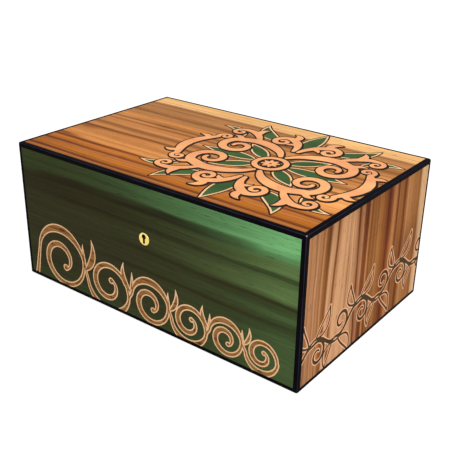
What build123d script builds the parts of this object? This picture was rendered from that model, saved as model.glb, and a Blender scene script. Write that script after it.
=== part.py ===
from build123d import *
from math import asin, cos, degrees, radians, sin
import os

os.makedirs("parts", exist_ok=True)

# The whole box, seen from the front: X to the right, Y to the back, Z up
width = 380.0
depth = 248.0
height = 164.0
seam_drop = 47.0  # from the top of the lid down to the seam
seam_gap = 0.15  # hairline between the closed lid and the base

# Edging, skins and walls, counted inwards from the outer faces
edge_leg = 5.0  # width of the black edging on each face
edge_round = 2.0
lacquer = 0.1  # depth of clear film over the veneers
veneer = 0.8
wall = 10.0
lining = 5.0
lining_chamfer = 1.2
lip_rise = 6.0  # how far the base lining stands above the seam
lip_clearance = 0.4  # between that lip and the lid's rails
lip_headroom = 0.5  # between that lip and the lid's lining

# Floors and ceiling
felt = 1.0
felt_margin = 0.5
bottom_panel = 8.0
floor_board = 4.0
top_panel = 10.0
ceiling_board = 3.0

# Round keyhole plate and its keyhole
key_drop = 61.6  # from the top of the lid down to the middle of the keyhole
plate_r = 6.9
plate_proud = 0.6
plate_round = 0.5
barrel_r = 6.0
barrel_gap = 0.1
key_tall = 10.8
key_head_r = 2.8
key_slot = 2.9
case_key_ease = 0.4

# Lock let into the front wall, and its bolt
case_long = 52.0
case_deep = 24.0
case_thick = 7.0
case_wall = 0.8
case_fit = 0.1
face_long = 64.0
face_wide = 8.0
face_thick = 1.2
face_screw_x = 28.0
post_r = 0.9
post_foot_r = 1.8
bolt_thick = 1.8
bolt_bar = 5.3
bolt_post = 2.5
bolt_ease = 0.3
bolt_throw = 4.0
nose_tall = 2.6
nose_ease = 0.5
key_notch_r = 2.4
spring_thick = 0.4
spring_long = 22.0
spring_tall = 3.0

# Striker in the lid, with two loops that the bolt passes through
loop_x = 16.0
loop_thick = 1.8
loop_wide = 4.2
loop_drop = 8.0
loop_eye_wide = 2.8
loop_eye_tall = 3.8
loop_web = 1.4
slot_ease = 0.5

# Quadrant hinges
open_angle = 95.0
pin_behind = 0.9  # pin axis behind the back face
pin_r = 1.0
pin_clearance = 0.05
knuckle_r = 2.2
knuckle_gap = 0.3
knuckle_side = 8.0  # from the side face to the near end of the knuckles
knuckle_long = 20.0
leaf_thick = 1.6
leaf_margin = 3.4
leaf_wide = 6.8
leaf_corner = 0.5
leaf_round = 2.5
side_leg = 51.0
back_leg = 30.0
arm_r = 38.0
arm_wide = 4.0
arm_thick = 1.6
arm_stop_r = 3.2
arm_ease = 0.4
leaf_screw_backs = (20.0, 46.0)
leaf_screw_side = 25.0

# Countersunk wood screws
screw_head_r = 2.4
screw_head_tall = 1.3
screw_r = 1.2
screw_long = 8.0
screw_point = 2.0
screw_gap = 0.1
screw_slot = 0.6

# Tray, its cleats and the dividers
cleat_top = 72.0
cleat_tall = 10.0
cleat_wide = 8.0
tray_gap = 1.0
tray_board = 5.0
tray_tall = 36.0
tray_round = 1.5
slat_count = 9
slat_wide = 24.0
slat_thick = 4.0
slat_margin = 12.0
slat_chamfer = 0.8
grip_wide = 60.0
grip_deep = 14.0
grip_round = 6.0
tray_divider_thick = 5.0
tray_divider_tall = 28.0
base_divider_thick = 6.0
base_divider_tall = 52.0
divider_gap = 0.3
divider_round = 1.5
vent_count = 4
vent_long = 32.0
vent_tall = 7.0
vent_share = 0.62  # height of the row of vents on a divider

# Humidifier under the lid
keeper_thick = 0.8
magnet_thick = 1.6
humid_x = -41.0
humid_long = 150.0
humid_wide = 64.0
humid_deep = 14.0
humid_wall = 1.5
humid_round = 5.0
cover_thick = 1.5
cover_edge = 0.8
foam_gap = 0.5
foam_thick = 10.0
louvre_count = 17
louvre_pitch = 7.6
louvre_wide = 3.2
louvre_long = 44.0
strip_long = 40.0
strip_wide = 14.0
strip_apart = 84.0
strip_round = 1.5

# Hygrometer beside it, its dial facing down
dial_x = 90.0
meter_r = 25.0
meter_deep = 11.0
meter_wall = 1.2
disc_r = 12.0
dial_in = 5.0  # from the case's open end up to the dial
dial_thick = 0.6
glass_thick = 1.2
bezel_r = 26.5
bezel_open_r = 22.5
bezel_tall = 3.4
bezel_round = 0.9
needle_in = 3.0
needle_thick = 0.4
needle_long = 17.5
needle_tail = 6.5
needle_wide = 1.5
needle_tip = 0.3
hub_r = 2.0
spindle_r = 0.6
spindle_gap = 0.05
rest_humidity = 70.0  # per cent shown at rest
dial_sweep = 270.0
band_r = 13.0
band_thick = 0.5
band_tall = 2.0
band_sweep = 300.0

# Levels and limits that follow from the sizes above
half_w = width / 2
half_d = depth / 2
base_top = height - seam_drop
lid_low = base_top + seam_gap
skin_in = lacquer + veneer
base_in = skin_in + wall
lid_in = base_in - lip_clearance
room_in = base_in + lining
lid_room_in = lid_in + lining
panel_top = felt + bottom_panel
floor_top = panel_top + floor_board
lip_top = base_top + lip_rise
top_panel_low = height - skin_in - top_panel
ceiling = top_panel_low - ceiling_board
pin_y = half_d + pin_behind
pin_z = base_top + seam_gap / 2
seam_plane = Plane.XY.offset(pin_z)


def block(x, y, z, mode=Mode.ADD):
    """Add a box that lies between two limits on each axis to the piece being made."""
    with Locations((sum(x) / 2, sum(y) / 2, sum(z) / 2)):
        Box(x[1] - x[0], y[1] - y[0], z[1] - z[0], mode=mode)


def facing_front(inset, z):
    """A plane parallel to the front face, inset behind it, that looks at the viewer from a height."""
    return Plane(origin=(0, inset - half_d, z), x_dir=(1, 0, 0), z_dir=(0, -1, 0))


# Black edging: strips in the angle of every two faces, rounded outside.
# Twelve strips are left when the block is cut through in all three directions.
def edging_blank():
    with BuildPart() as blank:
        Box(width, depth, height, align=(Align.CENTER, Align.CENTER, Align.MIN))
        fillet(blank.edges(), edge_round)
        tall = (edge_leg, height - edge_leg)
        wide = (edge_leg - half_w, half_w - edge_leg)
        deep = (edge_leg - half_d, half_d - edge_leg)
        block((-half_w, half_w), deep, tall, mode=Mode.SUBTRACT)
        block(wide, (-half_d, half_d), tall, mode=Mode.SUBTRACT)
        block(wide, deep, (0, height), mode=Mode.SUBTRACT)
    return blank.part


def edging_strips(low, high, corners):
    """The strips between two levels: the four at the corners, or those that join them."""
    mode = Mode.INTERSECT if corners else Mode.SUBTRACT
    with BuildPart() as posts:
        with GridLocations(width - edge_leg, depth - edge_leg, 2, 2):
            Box(edge_leg, edge_leg, height, align=(Align.CENTER, Align.CENTER, Align.MIN))
    with BuildPart() as strips:
        add(edging_blank())
        add(posts.part, mode=mode)
        block((-width, width), (-depth, depth), (low, high), mode=Mode.INTERSECT)
    return strips.part


with BuildPart() as base_corner_edging:
    add(edging_strips(0, base_top, corners=True))

with BuildPart() as base_foot_edging:
    add(edging_strips(0, base_top, corners=False))

with BuildPart() as lid_corner_edging:
    add(edging_strips(lid_low, height, corners=True))

with BuildPart() as lid_top_edging:
    add(edging_strips(lid_low, height, corners=False))


# Walls: boards mitred at the corners, each stepped round the corner edging
def mitred_board(span, side, inner, low, high, turn):
    """A board whose outer face lies under the veneer, turned about Z to its side of the box."""
    with BuildPart() as board:
        with BuildSketch(Plane.XY.offset(low)):
            with BuildLine():
                Polyline(
                    (edge_leg - span, skin_in - side),
                    (span - edge_leg, skin_in - side),
                    (span - edge_leg, edge_leg - side),
                    (span - inner, inner - side),
                    (inner - span, inner - side),
                    (edge_leg - span, edge_leg - side),
                    close=True,
                )
            make_face()
        extrude(amount=high - low)
    return board.part.rotate(Axis.Z, turn)


# Screws and the holes they go into
def screw_shape(grow=0.0):
    """A countersunk screw, or its hole, with the flat of the head at the origin, point down."""
    with BuildPart() as screw:
        with BuildSketch(Plane.XZ):
            with BuildLine():
                Polyline(
                    (0, 0),
                    (screw_head_r + grow, 0),
                    (screw_r + grow, -screw_head_tall),
                    (screw_r + grow, screw_point - screw_long),
                    (0, -screw_long - grow),
                    close=True,
                )
            make_face()
        revolve(axis=Axis.Z)
    return screw.part


def wood_screw():
    with BuildPart() as screw:
        add(screw_shape())
        for long, across in ((screw_head_r + screw_r, screw_slot), (screw_slot, screw_head_r + screw_r)):
            Box(long, across, screw_head_tall, mode=Mode.SUBTRACT)
    return screw.part


leaf_x = half_w - leaf_margin - leaf_wide / 2
back_leg_in = leaf_margin + leaf_wide
hinge_screws = [(leaf_x, half_d - back) for back in leaf_screw_backs]
hinge_screws.append((half_w - leaf_screw_side, half_d - back_leg_in / 2 - lacquer))


# Quadrant hinges: the leaves are flush in the edges of the walls, right-hand one first
def leaf_plan():
    """A long leg in the side wall and a short one in the back wall, as seen from above."""
    near = half_w - leaf_margin
    corner = edge_leg + leaf_corner
    with BuildSketch() as plan:
        with BuildLine():
            Polyline(
                (near - leaf_wide, half_d - side_leg),
                (near, half_d - side_leg),
                (near, half_d - corner),
                (half_w - corner, half_d - corner),
                (half_w - corner, half_d - lacquer),
                (half_w - back_leg, half_d - lacquer),
                (half_w - back_leg, half_d - back_leg_in),
                (near - leaf_wide, half_d - back_leg_in),
                close=True,
            )
        make_face()
        fillet(plan.vertices().group_by(Axis.Y)[0], leaf_round)
    return plan.sketch


def knuckle(radius, start, end, mode=Mode.ADD):
    """A cylinder on the pin axis, between two distances from the start of the knuckles."""
    middle = half_w - knuckle_side - knuckle_long + (start + end) / 2
    with Locations((middle, pin_y, pin_z)):
        Cylinder(radius, end - start, rotation=(0, 90, 0), mode=mode)


def hinge_leaf(spans):
    """The leaf below the seam, with knuckles on the given spans."""
    with BuildPart() as leaf:
        with BuildSketch(Plane.XY.offset(base_top - leaf_thick)):
            add(leaf_plan())
        extrude(amount=leaf_thick)
        knuckle(knuckle_r + knuckle_gap, -knuckle_gap, knuckle_long + knuckle_gap, Mode.SUBTRACT)
        for start, end in spans:
            knuckle(knuckle_r, start, end)
            first = half_w - knuckle_side - knuckle_long
            tongue = (half_d - 2 * knuckle_r, pin_y)
            block((first + start, first + end), tongue, (base_top - leaf_thick, base_top))
        knuckle(pin_r + pin_clearance, -knuckle_gap, knuckle_long + knuckle_gap, Mode.SUBTRACT)
        with Locations(*[(x, y, base_top) for x, y in hinge_screws]):
            add(screw_shape(screw_gap), mode=Mode.SUBTRACT)
        arm_x = (leaf_x - arm_thick / 2 - arm_ease, leaf_x + arm_thick / 2 + arm_ease)
        arm_y = (pin_y - arm_r - arm_wide / 2 - arm_ease, pin_y - arm_r + arm_wide / 2 + arm_ease)
        block(arm_x, arm_y, (base_top - 2 * leaf_thick, base_top), mode=Mode.SUBTRACT)
        mirror(about=Plane.YZ)
    return leaf.part


third = knuckle_long / 3
outer_spans = ((0, third - knuckle_gap / 2), (2 * third + knuckle_gap / 2, knuckle_long))
middle_span = ((third + knuckle_gap / 2, 2 * third - knuckle_gap / 2),)

with BuildPart() as hinge_base_leaves:
    add(hinge_leaf(outer_spans))

with BuildPart() as hinge_lid_leaves:
    mirror(hinge_leaf(middle_span), about=seam_plane)

with BuildPart() as hinge_pins:
    knuckle(pin_r, 0, knuckle_long)
    chamfer(hinge_pins.edges(), pin_r / 4)
    mirror(about=Plane.YZ)

# The arms are arcs about the pin axis. At rest they reach as far into the lid as into the base,
# and they follow the lid at half its angle. Their round ends stop against the leaves.
stop_drop = seam_gap / 2 + leaf_thick + arm_stop_r + arm_ease
arm_reach = open_angle / 2 + degrees(asin(stop_drop / arm_r))
arm_line = CenterArc((0, 0), arm_r, 180 - arm_reach, 2 * arm_reach)
mortise_line = CenterArc((0, 0), arm_r, 180, arm_reach)

with BuildPart() as hinge_arms:
    with BuildSketch(Plane.YZ.offset(leaf_x - arm_thick / 2)):
        with Locations((pin_y, pin_z)):
            SlotArc(arm_line, arm_wide)
        for side in (1, -1):
            turn = radians(180 + side * arm_reach)
            with Locations((pin_y + arm_r * cos(turn), pin_z + arm_r * sin(turn))):
                Circle(arm_stop_r)
    extrude(amount=arm_thick)
    mirror(about=Plane.YZ)


def hinge_recess():
    """What the hinges take out of the base: leaf pockets, knuckle room, arm mortises, screw holes."""
    with BuildPart() as recess:
        with BuildSketch(Plane.XY.offset(base_top - leaf_thick)):
            add(leaf_plan())
        extrude(amount=leaf_thick)
        knuckle(knuckle_r + knuckle_gap, -knuckle_gap, knuckle_long + knuckle_gap)
        with BuildSketch(Plane.YZ.offset(leaf_x - arm_thick / 2 - arm_ease)):
            with Locations((pin_y, pin_z)):
                SlotArc(mortise_line, 2 * (arm_stop_r + arm_ease))
        extrude(amount=arm_thick + 2 * arm_ease)
        with Locations(*[(x, y, base_top) for x, y in hinge_screws]):
            add(screw_shape(screw_gap))
        mirror(about=Plane.YZ)
    return recess.part


base_recess = hinge_recess()
lid_recess = base_recess.mirror(seam_plane)

# Base: felt, bottom panel, four walls, four veneers
with BuildPart() as felt_pad:
    pad_in = edge_leg + felt_margin
    block((pad_in - half_w, half_w - pad_in), (pad_in - half_d, half_d - pad_in), (0, felt))

with BuildPart() as base_bottom:
    block((edge_leg - half_w, half_w - edge_leg), (edge_leg - half_d, half_d - edge_leg), (felt, edge_leg))
    block((base_in - half_w, half_w - base_in), (base_in - half_d, half_d - base_in), (edge_leg, panel_top))

with BuildPart() as base_wall_back:
    add(mitred_board(half_w, half_d, base_in, edge_leg, base_top, 180))
    add(base_recess, mode=Mode.SUBTRACT)

with BuildPart() as base_wall_sides:
    add(mitred_board(half_d, half_w, base_in, edge_leg, base_top, 90))
    add(mitred_board(half_d, half_w, base_in, edge_leg, base_top, -90))
    add(base_recess, mode=Mode.SUBTRACT)

# The lock lies against the inner side of the front wall, its case in a mortise open to the inside
key_z = height - key_drop
head_z = key_z + key_tall / 2 - key_head_r
face_low = base_top - face_thick
case_low = face_low - case_deep
case_in = base_in - case_thick
loop_in = base_in - case_thick / 2


def inset_y(inset):
    """The Y value that lies so far in from the front face."""
    return inset - half_d


def keyhole(grow=0.0):
    """The keyhole's outline about its own middle: a round head over a slot with a round foot."""
    head_up = key_tall / 2 - key_head_r
    foot_down = key_tall / 2 - key_slot / 2
    with BuildSketch() as outline:
        with Locations((0, head_up)):
            Circle(key_head_r + grow)
        with Locations((0, (head_up - foot_down) / 2)):
            Rectangle(key_slot + 2 * grow, head_up + foot_down)
        with Locations((0, -foot_down)):
            Circle(key_slot / 2 + grow)
    return outline.sketch


with BuildPart() as base_wall_front:
    add(mitred_board(half_w, half_d, base_in, edge_leg, base_top, 0))
    half_case = case_long / 2 + case_fit
    block(
        (-half_case, half_case),
        (inset_y(case_in - case_fit), inset_y(base_in)),
        (case_low - case_fit, base_top),
        mode=Mode.SUBTRACT,
    )
    half_face = face_long / 2
    face_y = (inset_y(base_in - face_wide), inset_y(base_in))
    block((-half_face, half_face), face_y, (face_low, base_top), mode=Mode.SUBTRACT)
    with BuildSketch(facing_front(0, key_z)):
        Circle(barrel_r + barrel_gap)
    extrude(amount=-case_in, mode=Mode.SUBTRACT)
    face_screws = [(x, sum(face_y) / 2, base_top) for x in (-face_screw_x, face_screw_x)]
    with Locations(*face_screws):
        add(screw_shape(screw_gap), mode=Mode.SUBTRACT)

with BuildPart() as keyhole_plate:
    with BuildSketch(facing_front(lacquer, key_z)):
        Circle(plate_r)
    extrude(amount=lacquer + plate_proud)
    fillet(keyhole_plate.edges().group_by(Axis.Y)[0], plate_round)
    with BuildSketch(facing_front(lacquer, key_z)):
        Circle(barrel_r)
    extrude(amount=lacquer - case_in + case_fit)
    with BuildSketch(facing_front(-plate_proud, key_z)):
        add(keyhole())
    extrude(amount=-case_in - plate_proud, mode=Mode.SUBTRACT)

with BuildPart() as lock_case:
    inside = case_long / 2 - case_wall
    block((-case_long / 2, case_long / 2), (inset_y(case_in), inset_y(base_in)), (case_low, face_low))
    block(
        (-inside, inside),
        (inset_y(case_in + case_wall), inset_y(base_in)),
        (case_low + case_wall, face_low),
        mode=Mode.SUBTRACT,
    )
    with BuildSketch(facing_front(case_in, key_z)):
        add(keyhole(case_key_ease))
    extrude(amount=-case_wall, mode=Mode.SUBTRACT)

cap_in = base_in - case_wall

with BuildPart() as lock_cap:
    block((-inside, inside), (inset_y(cap_in), inset_y(base_in)), (case_low + case_wall, face_low))

with BuildPart() as lock_key_post:
    with BuildSketch(facing_front(cap_in, head_z)):
        Circle(post_foot_r)
    extrude(amount=case_wall)
    with BuildSketch(facing_front(cap_in, head_z)):
        Circle(post_r)
    extrude(amount=cap_in - skin_in)
    chamfer(lock_key_post.edges().group_by(Axis.Y)[0], post_r / 3)

with BuildPart() as lock_face:
    block((-half_face, half_face), face_y, (face_low, base_top))
    for side in (-1, 1):
        across = loop_thick / 2 + slot_ease
        along = loop_wide / 2 + slot_ease
        block(
            (side * loop_x - across, side * loop_x + across),
            (inset_y(loop_in - along), inset_y(loop_in + along)),
            (face_low, base_top),
            mode=Mode.SUBTRACT,
        )
    with Locations(*face_screws):
        add(screw_shape(screw_gap), mode=Mode.SUBTRACT)

# The bolt is a plate with two posts. Each has a nose that goes into a loop of the striker.
eye_z = base_top - loop_drop + loop_web + loop_eye_tall / 2
bolt_low = case_low + case_wall + bolt_ease
bolt_y = (inset_y(loop_in - bolt_thick / 2), inset_y(loop_in + bolt_thick / 2))
nose_long = bolt_throw + nose_ease

with BuildPart() as lock_bolt:
    nose_ends = [side * loop_x - loop_thick / 2 - nose_ease for side in (-1, 1)]
    bar_start = nose_ends[0] - nose_long - bolt_post
    bar_end = nose_ends[1] - nose_long
    block((bar_start, bar_end), bolt_y, (bolt_low, bolt_low + bolt_bar))
    for end in nose_ends:
        post = (end - nose_long - bolt_post, end - nose_long)
        block(post, bolt_y, (bolt_low, eye_z + nose_tall / 2))
        block((post[0], end), bolt_y, (eye_z - nose_tall / 2, eye_z + nose_tall / 2))
    with BuildSketch(facing_front(loop_in - bolt_thick, bolt_low + bolt_bar)):
        Circle(key_notch_r)
    extrude(amount=-2 * bolt_thick, mode=Mode.SUBTRACT)

# A bowed strip between the bolt and the cap keeps the bolt from rattling
with BuildPart() as lock_spring:
    strip_y = inset_y(cap_in - spring_thick)
    crown_y = inset_y(loop_in + bolt_thick / 2 + bolt_ease)
    with BuildSketch(Plane.XY.offset(bolt_low)):
        with BuildLine():
            for shift in (0, spring_thick):
                ThreePointArc(
                    (-spring_long / 2, strip_y + shift),
                    (0, crown_y + shift),
                    (spring_long / 2, strip_y + shift),
                )
            for end in (-spring_long / 2, spring_long / 2):
                Line((end, strip_y), (end, strip_y + spring_thick))
        make_face()
    extrude(amount=spring_tall)

with BuildPart() as base_screws:
    with Locations(*[(side * x, y, base_top) for side in (-1, 1) for x, y in hinge_screws], *face_screws):
        add(wood_screw())

# Lid: rails, top panel and striker
rail_top = height - edge_leg

with BuildPart() as lid_rail_front:
    add(mitred_board(half_w, half_d, lid_in, lid_low, rail_top, 0))
    strike_y = (inset_y(base_in - face_wide), inset_y(lid_in))
    block((-half_face, half_face), strike_y, (lid_low, lid_low + face_thick), mode=Mode.SUBTRACT)
    strike_screws = [(x, sum(strike_y) / 2, lid_low) for x in (-face_screw_x, face_screw_x)]
    with Locations(*[Location(at, (180, 0, 0)) for at in strike_screws]):
        add(screw_shape(screw_gap), mode=Mode.SUBTRACT)

with BuildPart() as lid_rail_back:
    add(mitred_board(half_w, half_d, lid_in, lid_low, rail_top, 180))
    add(lid_recess, mode=Mode.SUBTRACT)

with BuildPart() as lid_rail_sides:
    add(mitred_board(half_d, half_w, lid_in, lid_low, rail_top, 90))
    add(mitred_board(half_d, half_w, lid_in, lid_low, rail_top, -90))
    add(lid_recess, mode=Mode.SUBTRACT)

with BuildPart() as lid_panel:
    block(
        (edge_leg - half_w, half_w - edge_leg),
        (edge_leg - half_d, half_d - edge_leg),
        (rail_top, height - skin_in),
    )
    block((lid_in - half_w, half_w - lid_in), (lid_in - half_d, half_d - lid_in), (top_panel_low, rail_top))

with BuildPart() as lock_striker:
    block((-half_face, half_face), strike_y, (lid_low, lid_low + face_thick))
    for side in (-1, 1):
        slab = (side * loop_x - loop_thick / 2, side * loop_x + loop_thick / 2)
        loop_y = (inset_y(loop_in - loop_wide / 2), inset_y(loop_in + loop_wide / 2))
        block(slab, loop_y, (base_top - loop_drop, lid_low))
        block(
            slab,
            (inset_y(loop_in - loop_eye_wide / 2), inset_y(loop_in + loop_eye_wide / 2)),
            (eye_z - loop_eye_tall / 2, eye_z + loop_eye_tall / 2),
            mode=Mode.SUBTRACT,
        )
    with Locations(*[Location(at, (180, 0, 0)) for at in strike_screws]):
        add(screw_shape(screw_gap), mode=Mode.SUBTRACT)


# Veneers: one sheet on each outer face, between the strips of edging
def veneer_front(low, high):
    with BuildPart() as sheet:
        skin = (inset_y(lacquer), inset_y(skin_in))
        block((edge_leg - half_w, half_w - edge_leg), skin, (low, high))
        with BuildSketch(facing_front(0, key_z)):
            Circle(barrel_r + barrel_gap)
        extrude(amount=-skin_in, mode=Mode.SUBTRACT)
    return sheet.part


def veneer_back(low, high, recess):
    with BuildPart() as sheet:
        block((edge_leg - half_w, half_w - edge_leg), (half_d - skin_in, half_d - lacquer), (low, high))
        add(recess, mode=Mode.SUBTRACT)
    return sheet.part


def veneer_right(low, high):
    with BuildPart() as sheet:
        block((half_w - skin_in, half_w - lacquer), (edge_leg - half_d, half_d - edge_leg), (low, high))
    return sheet.part


with BuildPart() as base_veneer_front:
    add(veneer_front(edge_leg, base_top))

with BuildPart() as base_veneer_back:
    add(veneer_back(edge_leg, base_top, base_recess))

with BuildPart() as base_veneer_right:
    add(veneer_right(edge_leg, base_top))

with BuildPart() as base_veneer_left:
    mirror(veneer_right(edge_leg, base_top), about=Plane.YZ)

with BuildPart() as lid_veneer_front:
    add(veneer_front(lid_low, rail_top))

with BuildPart() as lid_veneer_back:
    add(veneer_back(lid_low, rail_top, lid_recess))

with BuildPart() as lid_veneer_right:
    add(veneer_right(lid_low, rail_top))

with BuildPart() as lid_veneer_left:
    mirror(veneer_right(lid_low, rail_top), about=Plane.YZ)

with BuildPart() as lid_veneer_top:
    block(
        (edge_leg - half_w, half_w - edge_leg),
        (edge_leg - half_d, half_d - edge_leg),
        (height - skin_in, height - lacquer),
    )

# Cedar lining: the boards of the base stand above the seam and seal against the lid's rails
with BuildPart() as lining_floor:
    block((base_in - half_w, half_w - base_in), (base_in - half_d, half_d - base_in), (panel_top, floor_top))

with BuildPart() as lining_long:
    block((base_in - half_w, half_w - base_in), (half_d - room_in, half_d - base_in), (floor_top, lip_top))
    chamfer(lining_long.edges().group_by(Axis.Z)[-1].filter_by(Axis.X), lining_chamfer)
    mirror(about=Plane.XZ)

with BuildPart() as lining_ends:
    block((half_w - room_in, half_w - base_in), (room_in - half_d, half_d - room_in), (floor_top, lip_top))
    chamfer(lining_ends.edges().group_by(Axis.Z)[-1].filter_by(Axis.Y), lining_chamfer)
    mirror(about=Plane.YZ)

lid_lining_low = lip_top + lip_headroom

with BuildPart() as lid_lining_top:
    block((lid_in - half_w, half_w - lid_in), (lid_in - half_d, half_d - lid_in), (ceiling, top_panel_low))

with BuildPart() as lid_lining_long:
    long_y = (half_d - lid_room_in, half_d - lid_in)
    block((lid_in - half_w, half_w - lid_in), long_y, (lid_lining_low, ceiling))
    mirror(about=Plane.XZ)

with BuildPart() as lid_lining_ends:
    ends_y = (lid_room_in - half_d, half_d - lid_room_in)
    block((half_w - lid_room_in, half_w - lid_in), ends_y, (lid_lining_low, ceiling))
    mirror(about=Plane.YZ)

# Cleats and the tray that rests on them
room_x = half_w - room_in
room_y = half_d - room_in

with BuildPart() as tray_cleats:
    block((room_x - cleat_wide, room_x), (-room_y, room_y), (cleat_top - cleat_tall, cleat_top))
    chamfer(tray_cleats.edges().group_by(Axis.X)[0].filter_by(Axis.Y), lining_chamfer)
    mirror(about=Plane.YZ)

tray_x = room_x - tray_gap
tray_y = room_y - tray_gap
tray_in_x = tray_x - tray_board
tray_in_y = tray_y - tray_board
tray_top = cleat_top + tray_tall

with BuildPart() as tray_long_boards:
    block((-tray_in_x, tray_in_x), (tray_in_y, tray_y), (cleat_top, tray_top))
    fillet(tray_long_boards.edges().group_by(Axis.Z)[-1].filter_by(Axis.X), tray_round)
    mirror(about=Plane.XZ)

with BuildPart() as tray_end_boards:
    with BuildSketch(Plane.YZ.offset(tray_in_x)):
        with Locations((0, (cleat_top + tray_top) / 2)):
            Rectangle(2 * tray_y, tray_tall)
        with Locations((0, tray_top)):
            RectangleRounded(grip_wide, 2 * grip_deep, grip_round, mode=Mode.SUBTRACT)
    extrude(amount=tray_board)
    fillet(tray_end_boards.edges().group_by(Axis.Z)[-1].filter_by(Axis.Y), tray_round)
    mirror(about=Plane.YZ)

with BuildPart() as tray_slats:
    slat_pitch = (2 * (tray_in_x - slat_margin) - slat_wide) / (slat_count - 1)
    with Locations((0, 0, cleat_top + slat_thick / 2)):
        with GridLocations(slat_pitch, 1, slat_count, 1):
            Box(slat_wide, 2 * tray_in_y, slat_thick)
    chamfer(tray_slats.edges().group_by(Axis.Z)[-1].filter_by(Axis.Y), slat_chamfer)


def divider(thick, reach, low, tall):
    """An upright board across the box, with a row of slots for the air to pass."""
    with BuildPart() as board:
        block((-thick / 2, thick / 2), (divider_gap - reach, reach - divider_gap), (low, low + tall))
        fillet(board.edges().group_by(Axis.Z)[-1].filter_by(Axis.Y), divider_round)
        with BuildSketch(Plane.YZ.offset(-thick / 2)):
            with Locations((0, low + tall * vent_share)):
                with GridLocations(2 * reach / vent_count, 1, vent_count, 1):
                    SlotOverall(vent_long, vent_tall)
        extrude(amount=thick, mode=Mode.SUBTRACT)
    return board.part


with BuildPart() as tray_divider:
    add(divider(tray_divider_thick, tray_in_y, cleat_top + slat_thick, tray_divider_tall))

with BuildPart() as base_divider:
    add(divider(base_divider_thick, room_y, floor_top, base_divider_tall))

# Humidifier and hygrometer hang from steel keepers on the lid's ceiling, held by magnets
keeper_low = ceiling - keeper_thick
magnet_low = keeper_low - magnet_thick
strip_places = [(humid_x - strip_apart / 2, 0), (humid_x + strip_apart / 2, 0)]
keeper_screws = [(x, y, keeper_low) for x, y in [*strip_places, (dial_x, 0)]]


def keeper_shapes():
    """Plan of the two strips over the humidifier and the disc over the hygrometer."""
    with BuildSketch() as plan:
        with Locations(*strip_places):
            RectangleRounded(strip_long, strip_wide, strip_round)
        with Locations((dial_x, 0)):
            Circle(disc_r)
    return plan.sketch


with BuildPart() as steel_keepers:
    with BuildSketch(Plane.XY.offset(keeper_low)):
        add(keeper_shapes())
    extrude(amount=keeper_thick)
    with Locations(*[Location(at, (180, 0, 0)) for at in keeper_screws]):
        add(screw_shape(screw_gap), mode=Mode.SUBTRACT)

for lined in (lid_lining_top, lid_panel):
    with lined:
        with Locations(*[Location(at, (180, 0, 0)) for at in keeper_screws]):
            add(screw_shape(screw_gap), mode=Mode.SUBTRACT)

with BuildPart() as magnets:
    with BuildSketch(Plane.XY.offset(magnet_low)):
        add(keeper_shapes())
    extrude(amount=magnet_thick)

with BuildPart() as lid_screws:
    lid_places = [(side * x, y, lid_low) for side in (-1, 1) for x, y in hinge_screws]
    with Locations(*[Location(at, (180, 0, 0)) for at in [*lid_places, *strike_screws, *keeper_screws]]):
        add(wood_screw())

humid_low = magnet_low - humid_deep
foam_low = magnet_low - humid_wall - foam_thick

with BuildPart() as humidifier_case:
    with BuildSketch(Plane.XY.offset(humid_low)):
        with Locations((humid_x, 0)):
            RectangleRounded(humid_long, humid_wide, humid_round)
    extrude(amount=humid_deep)
    with BuildSketch(Plane.XY.offset(humid_low)):
        with Locations((humid_x, 0)):
            inner_round = humid_round - humid_wall
            RectangleRounded(humid_long - 2 * humid_wall, humid_wide - 2 * humid_wall, inner_round)
    extrude(amount=humid_deep - humid_wall, mode=Mode.SUBTRACT)

with BuildPart() as humidifier_foam:
    with BuildSketch(Plane.XY.offset(foam_low)):
        with Locations((humid_x, 0)):
            foam_in = 2 * (humid_wall + foam_gap)
            RectangleRounded(humid_long - foam_in, humid_wide - foam_in, humid_round - foam_in / 2)
    extrude(amount=foam_thick)

with BuildPart() as humidifier_cover:
    with BuildSketch(Plane.XY.offset(humid_low - cover_thick)):
        with Locations((humid_x, 0)):
            RectangleRounded(humid_long, humid_wide, humid_round)
    extrude(amount=cover_thick)
    chamfer(humidifier_cover.edges().group_by(Axis.Z)[0], cover_edge)
    with BuildSketch(Plane.XY.offset(humid_low - cover_thick)):
        with Locations((humid_x, 0)):
            with GridLocations(louvre_pitch, 1, louvre_count, 1):
                SlotOverall(louvre_long, louvre_wide, rotation=90)
    extrude(amount=cover_thick, mode=Mode.SUBTRACT)

meter_low = magnet_low - meter_deep
dial_low = meter_low + dial_in
needle_low = meter_low + needle_in


def round_plate(radius, low, tall, mode=Mode.ADD):
    """A disc about the hygrometer's middle."""
    with Locations((dial_x, 0, low + tall / 2)):
        Cylinder(radius, tall, mode=mode)


with BuildPart() as hygrometer_case:
    round_plate(meter_r, meter_low, meter_deep)
    fillet(hygrometer_case.edges().group_by(Axis.Z)[-1], meter_wall)
    round_plate(meter_r - meter_wall, meter_low, meter_deep - meter_wall, Mode.SUBTRACT)
    round_plate(hub_r, dial_low + 2 * dial_thick, meter_deep - dial_in - 2 * dial_thick)
    round_plate(spindle_r + spindle_gap, meter_low, meter_deep - meter_wall, Mode.SUBTRACT)

with BuildPart() as hygrometer_dial:
    round_plate(meter_r - meter_wall, dial_low, dial_thick)
    round_plate(spindle_r + spindle_gap, dial_low, dial_thick, Mode.SUBTRACT)

with BuildPart() as hygrometer_glass:
    round_plate(meter_r - meter_wall, meter_low, glass_thick)

with BuildPart() as hygrometer_bezel:
    round_plate(bezel_r, meter_low - meter_wall, bezel_tall)
    fillet(hygrometer_bezel.edges().group_by(Axis.Z)[0], bezel_round)
    round_plate(meter_r, meter_low, bezel_tall, Mode.SUBTRACT)
    round_plate(bezel_open_r, meter_low - meter_wall, bezel_tall, Mode.SUBTRACT)

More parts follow.
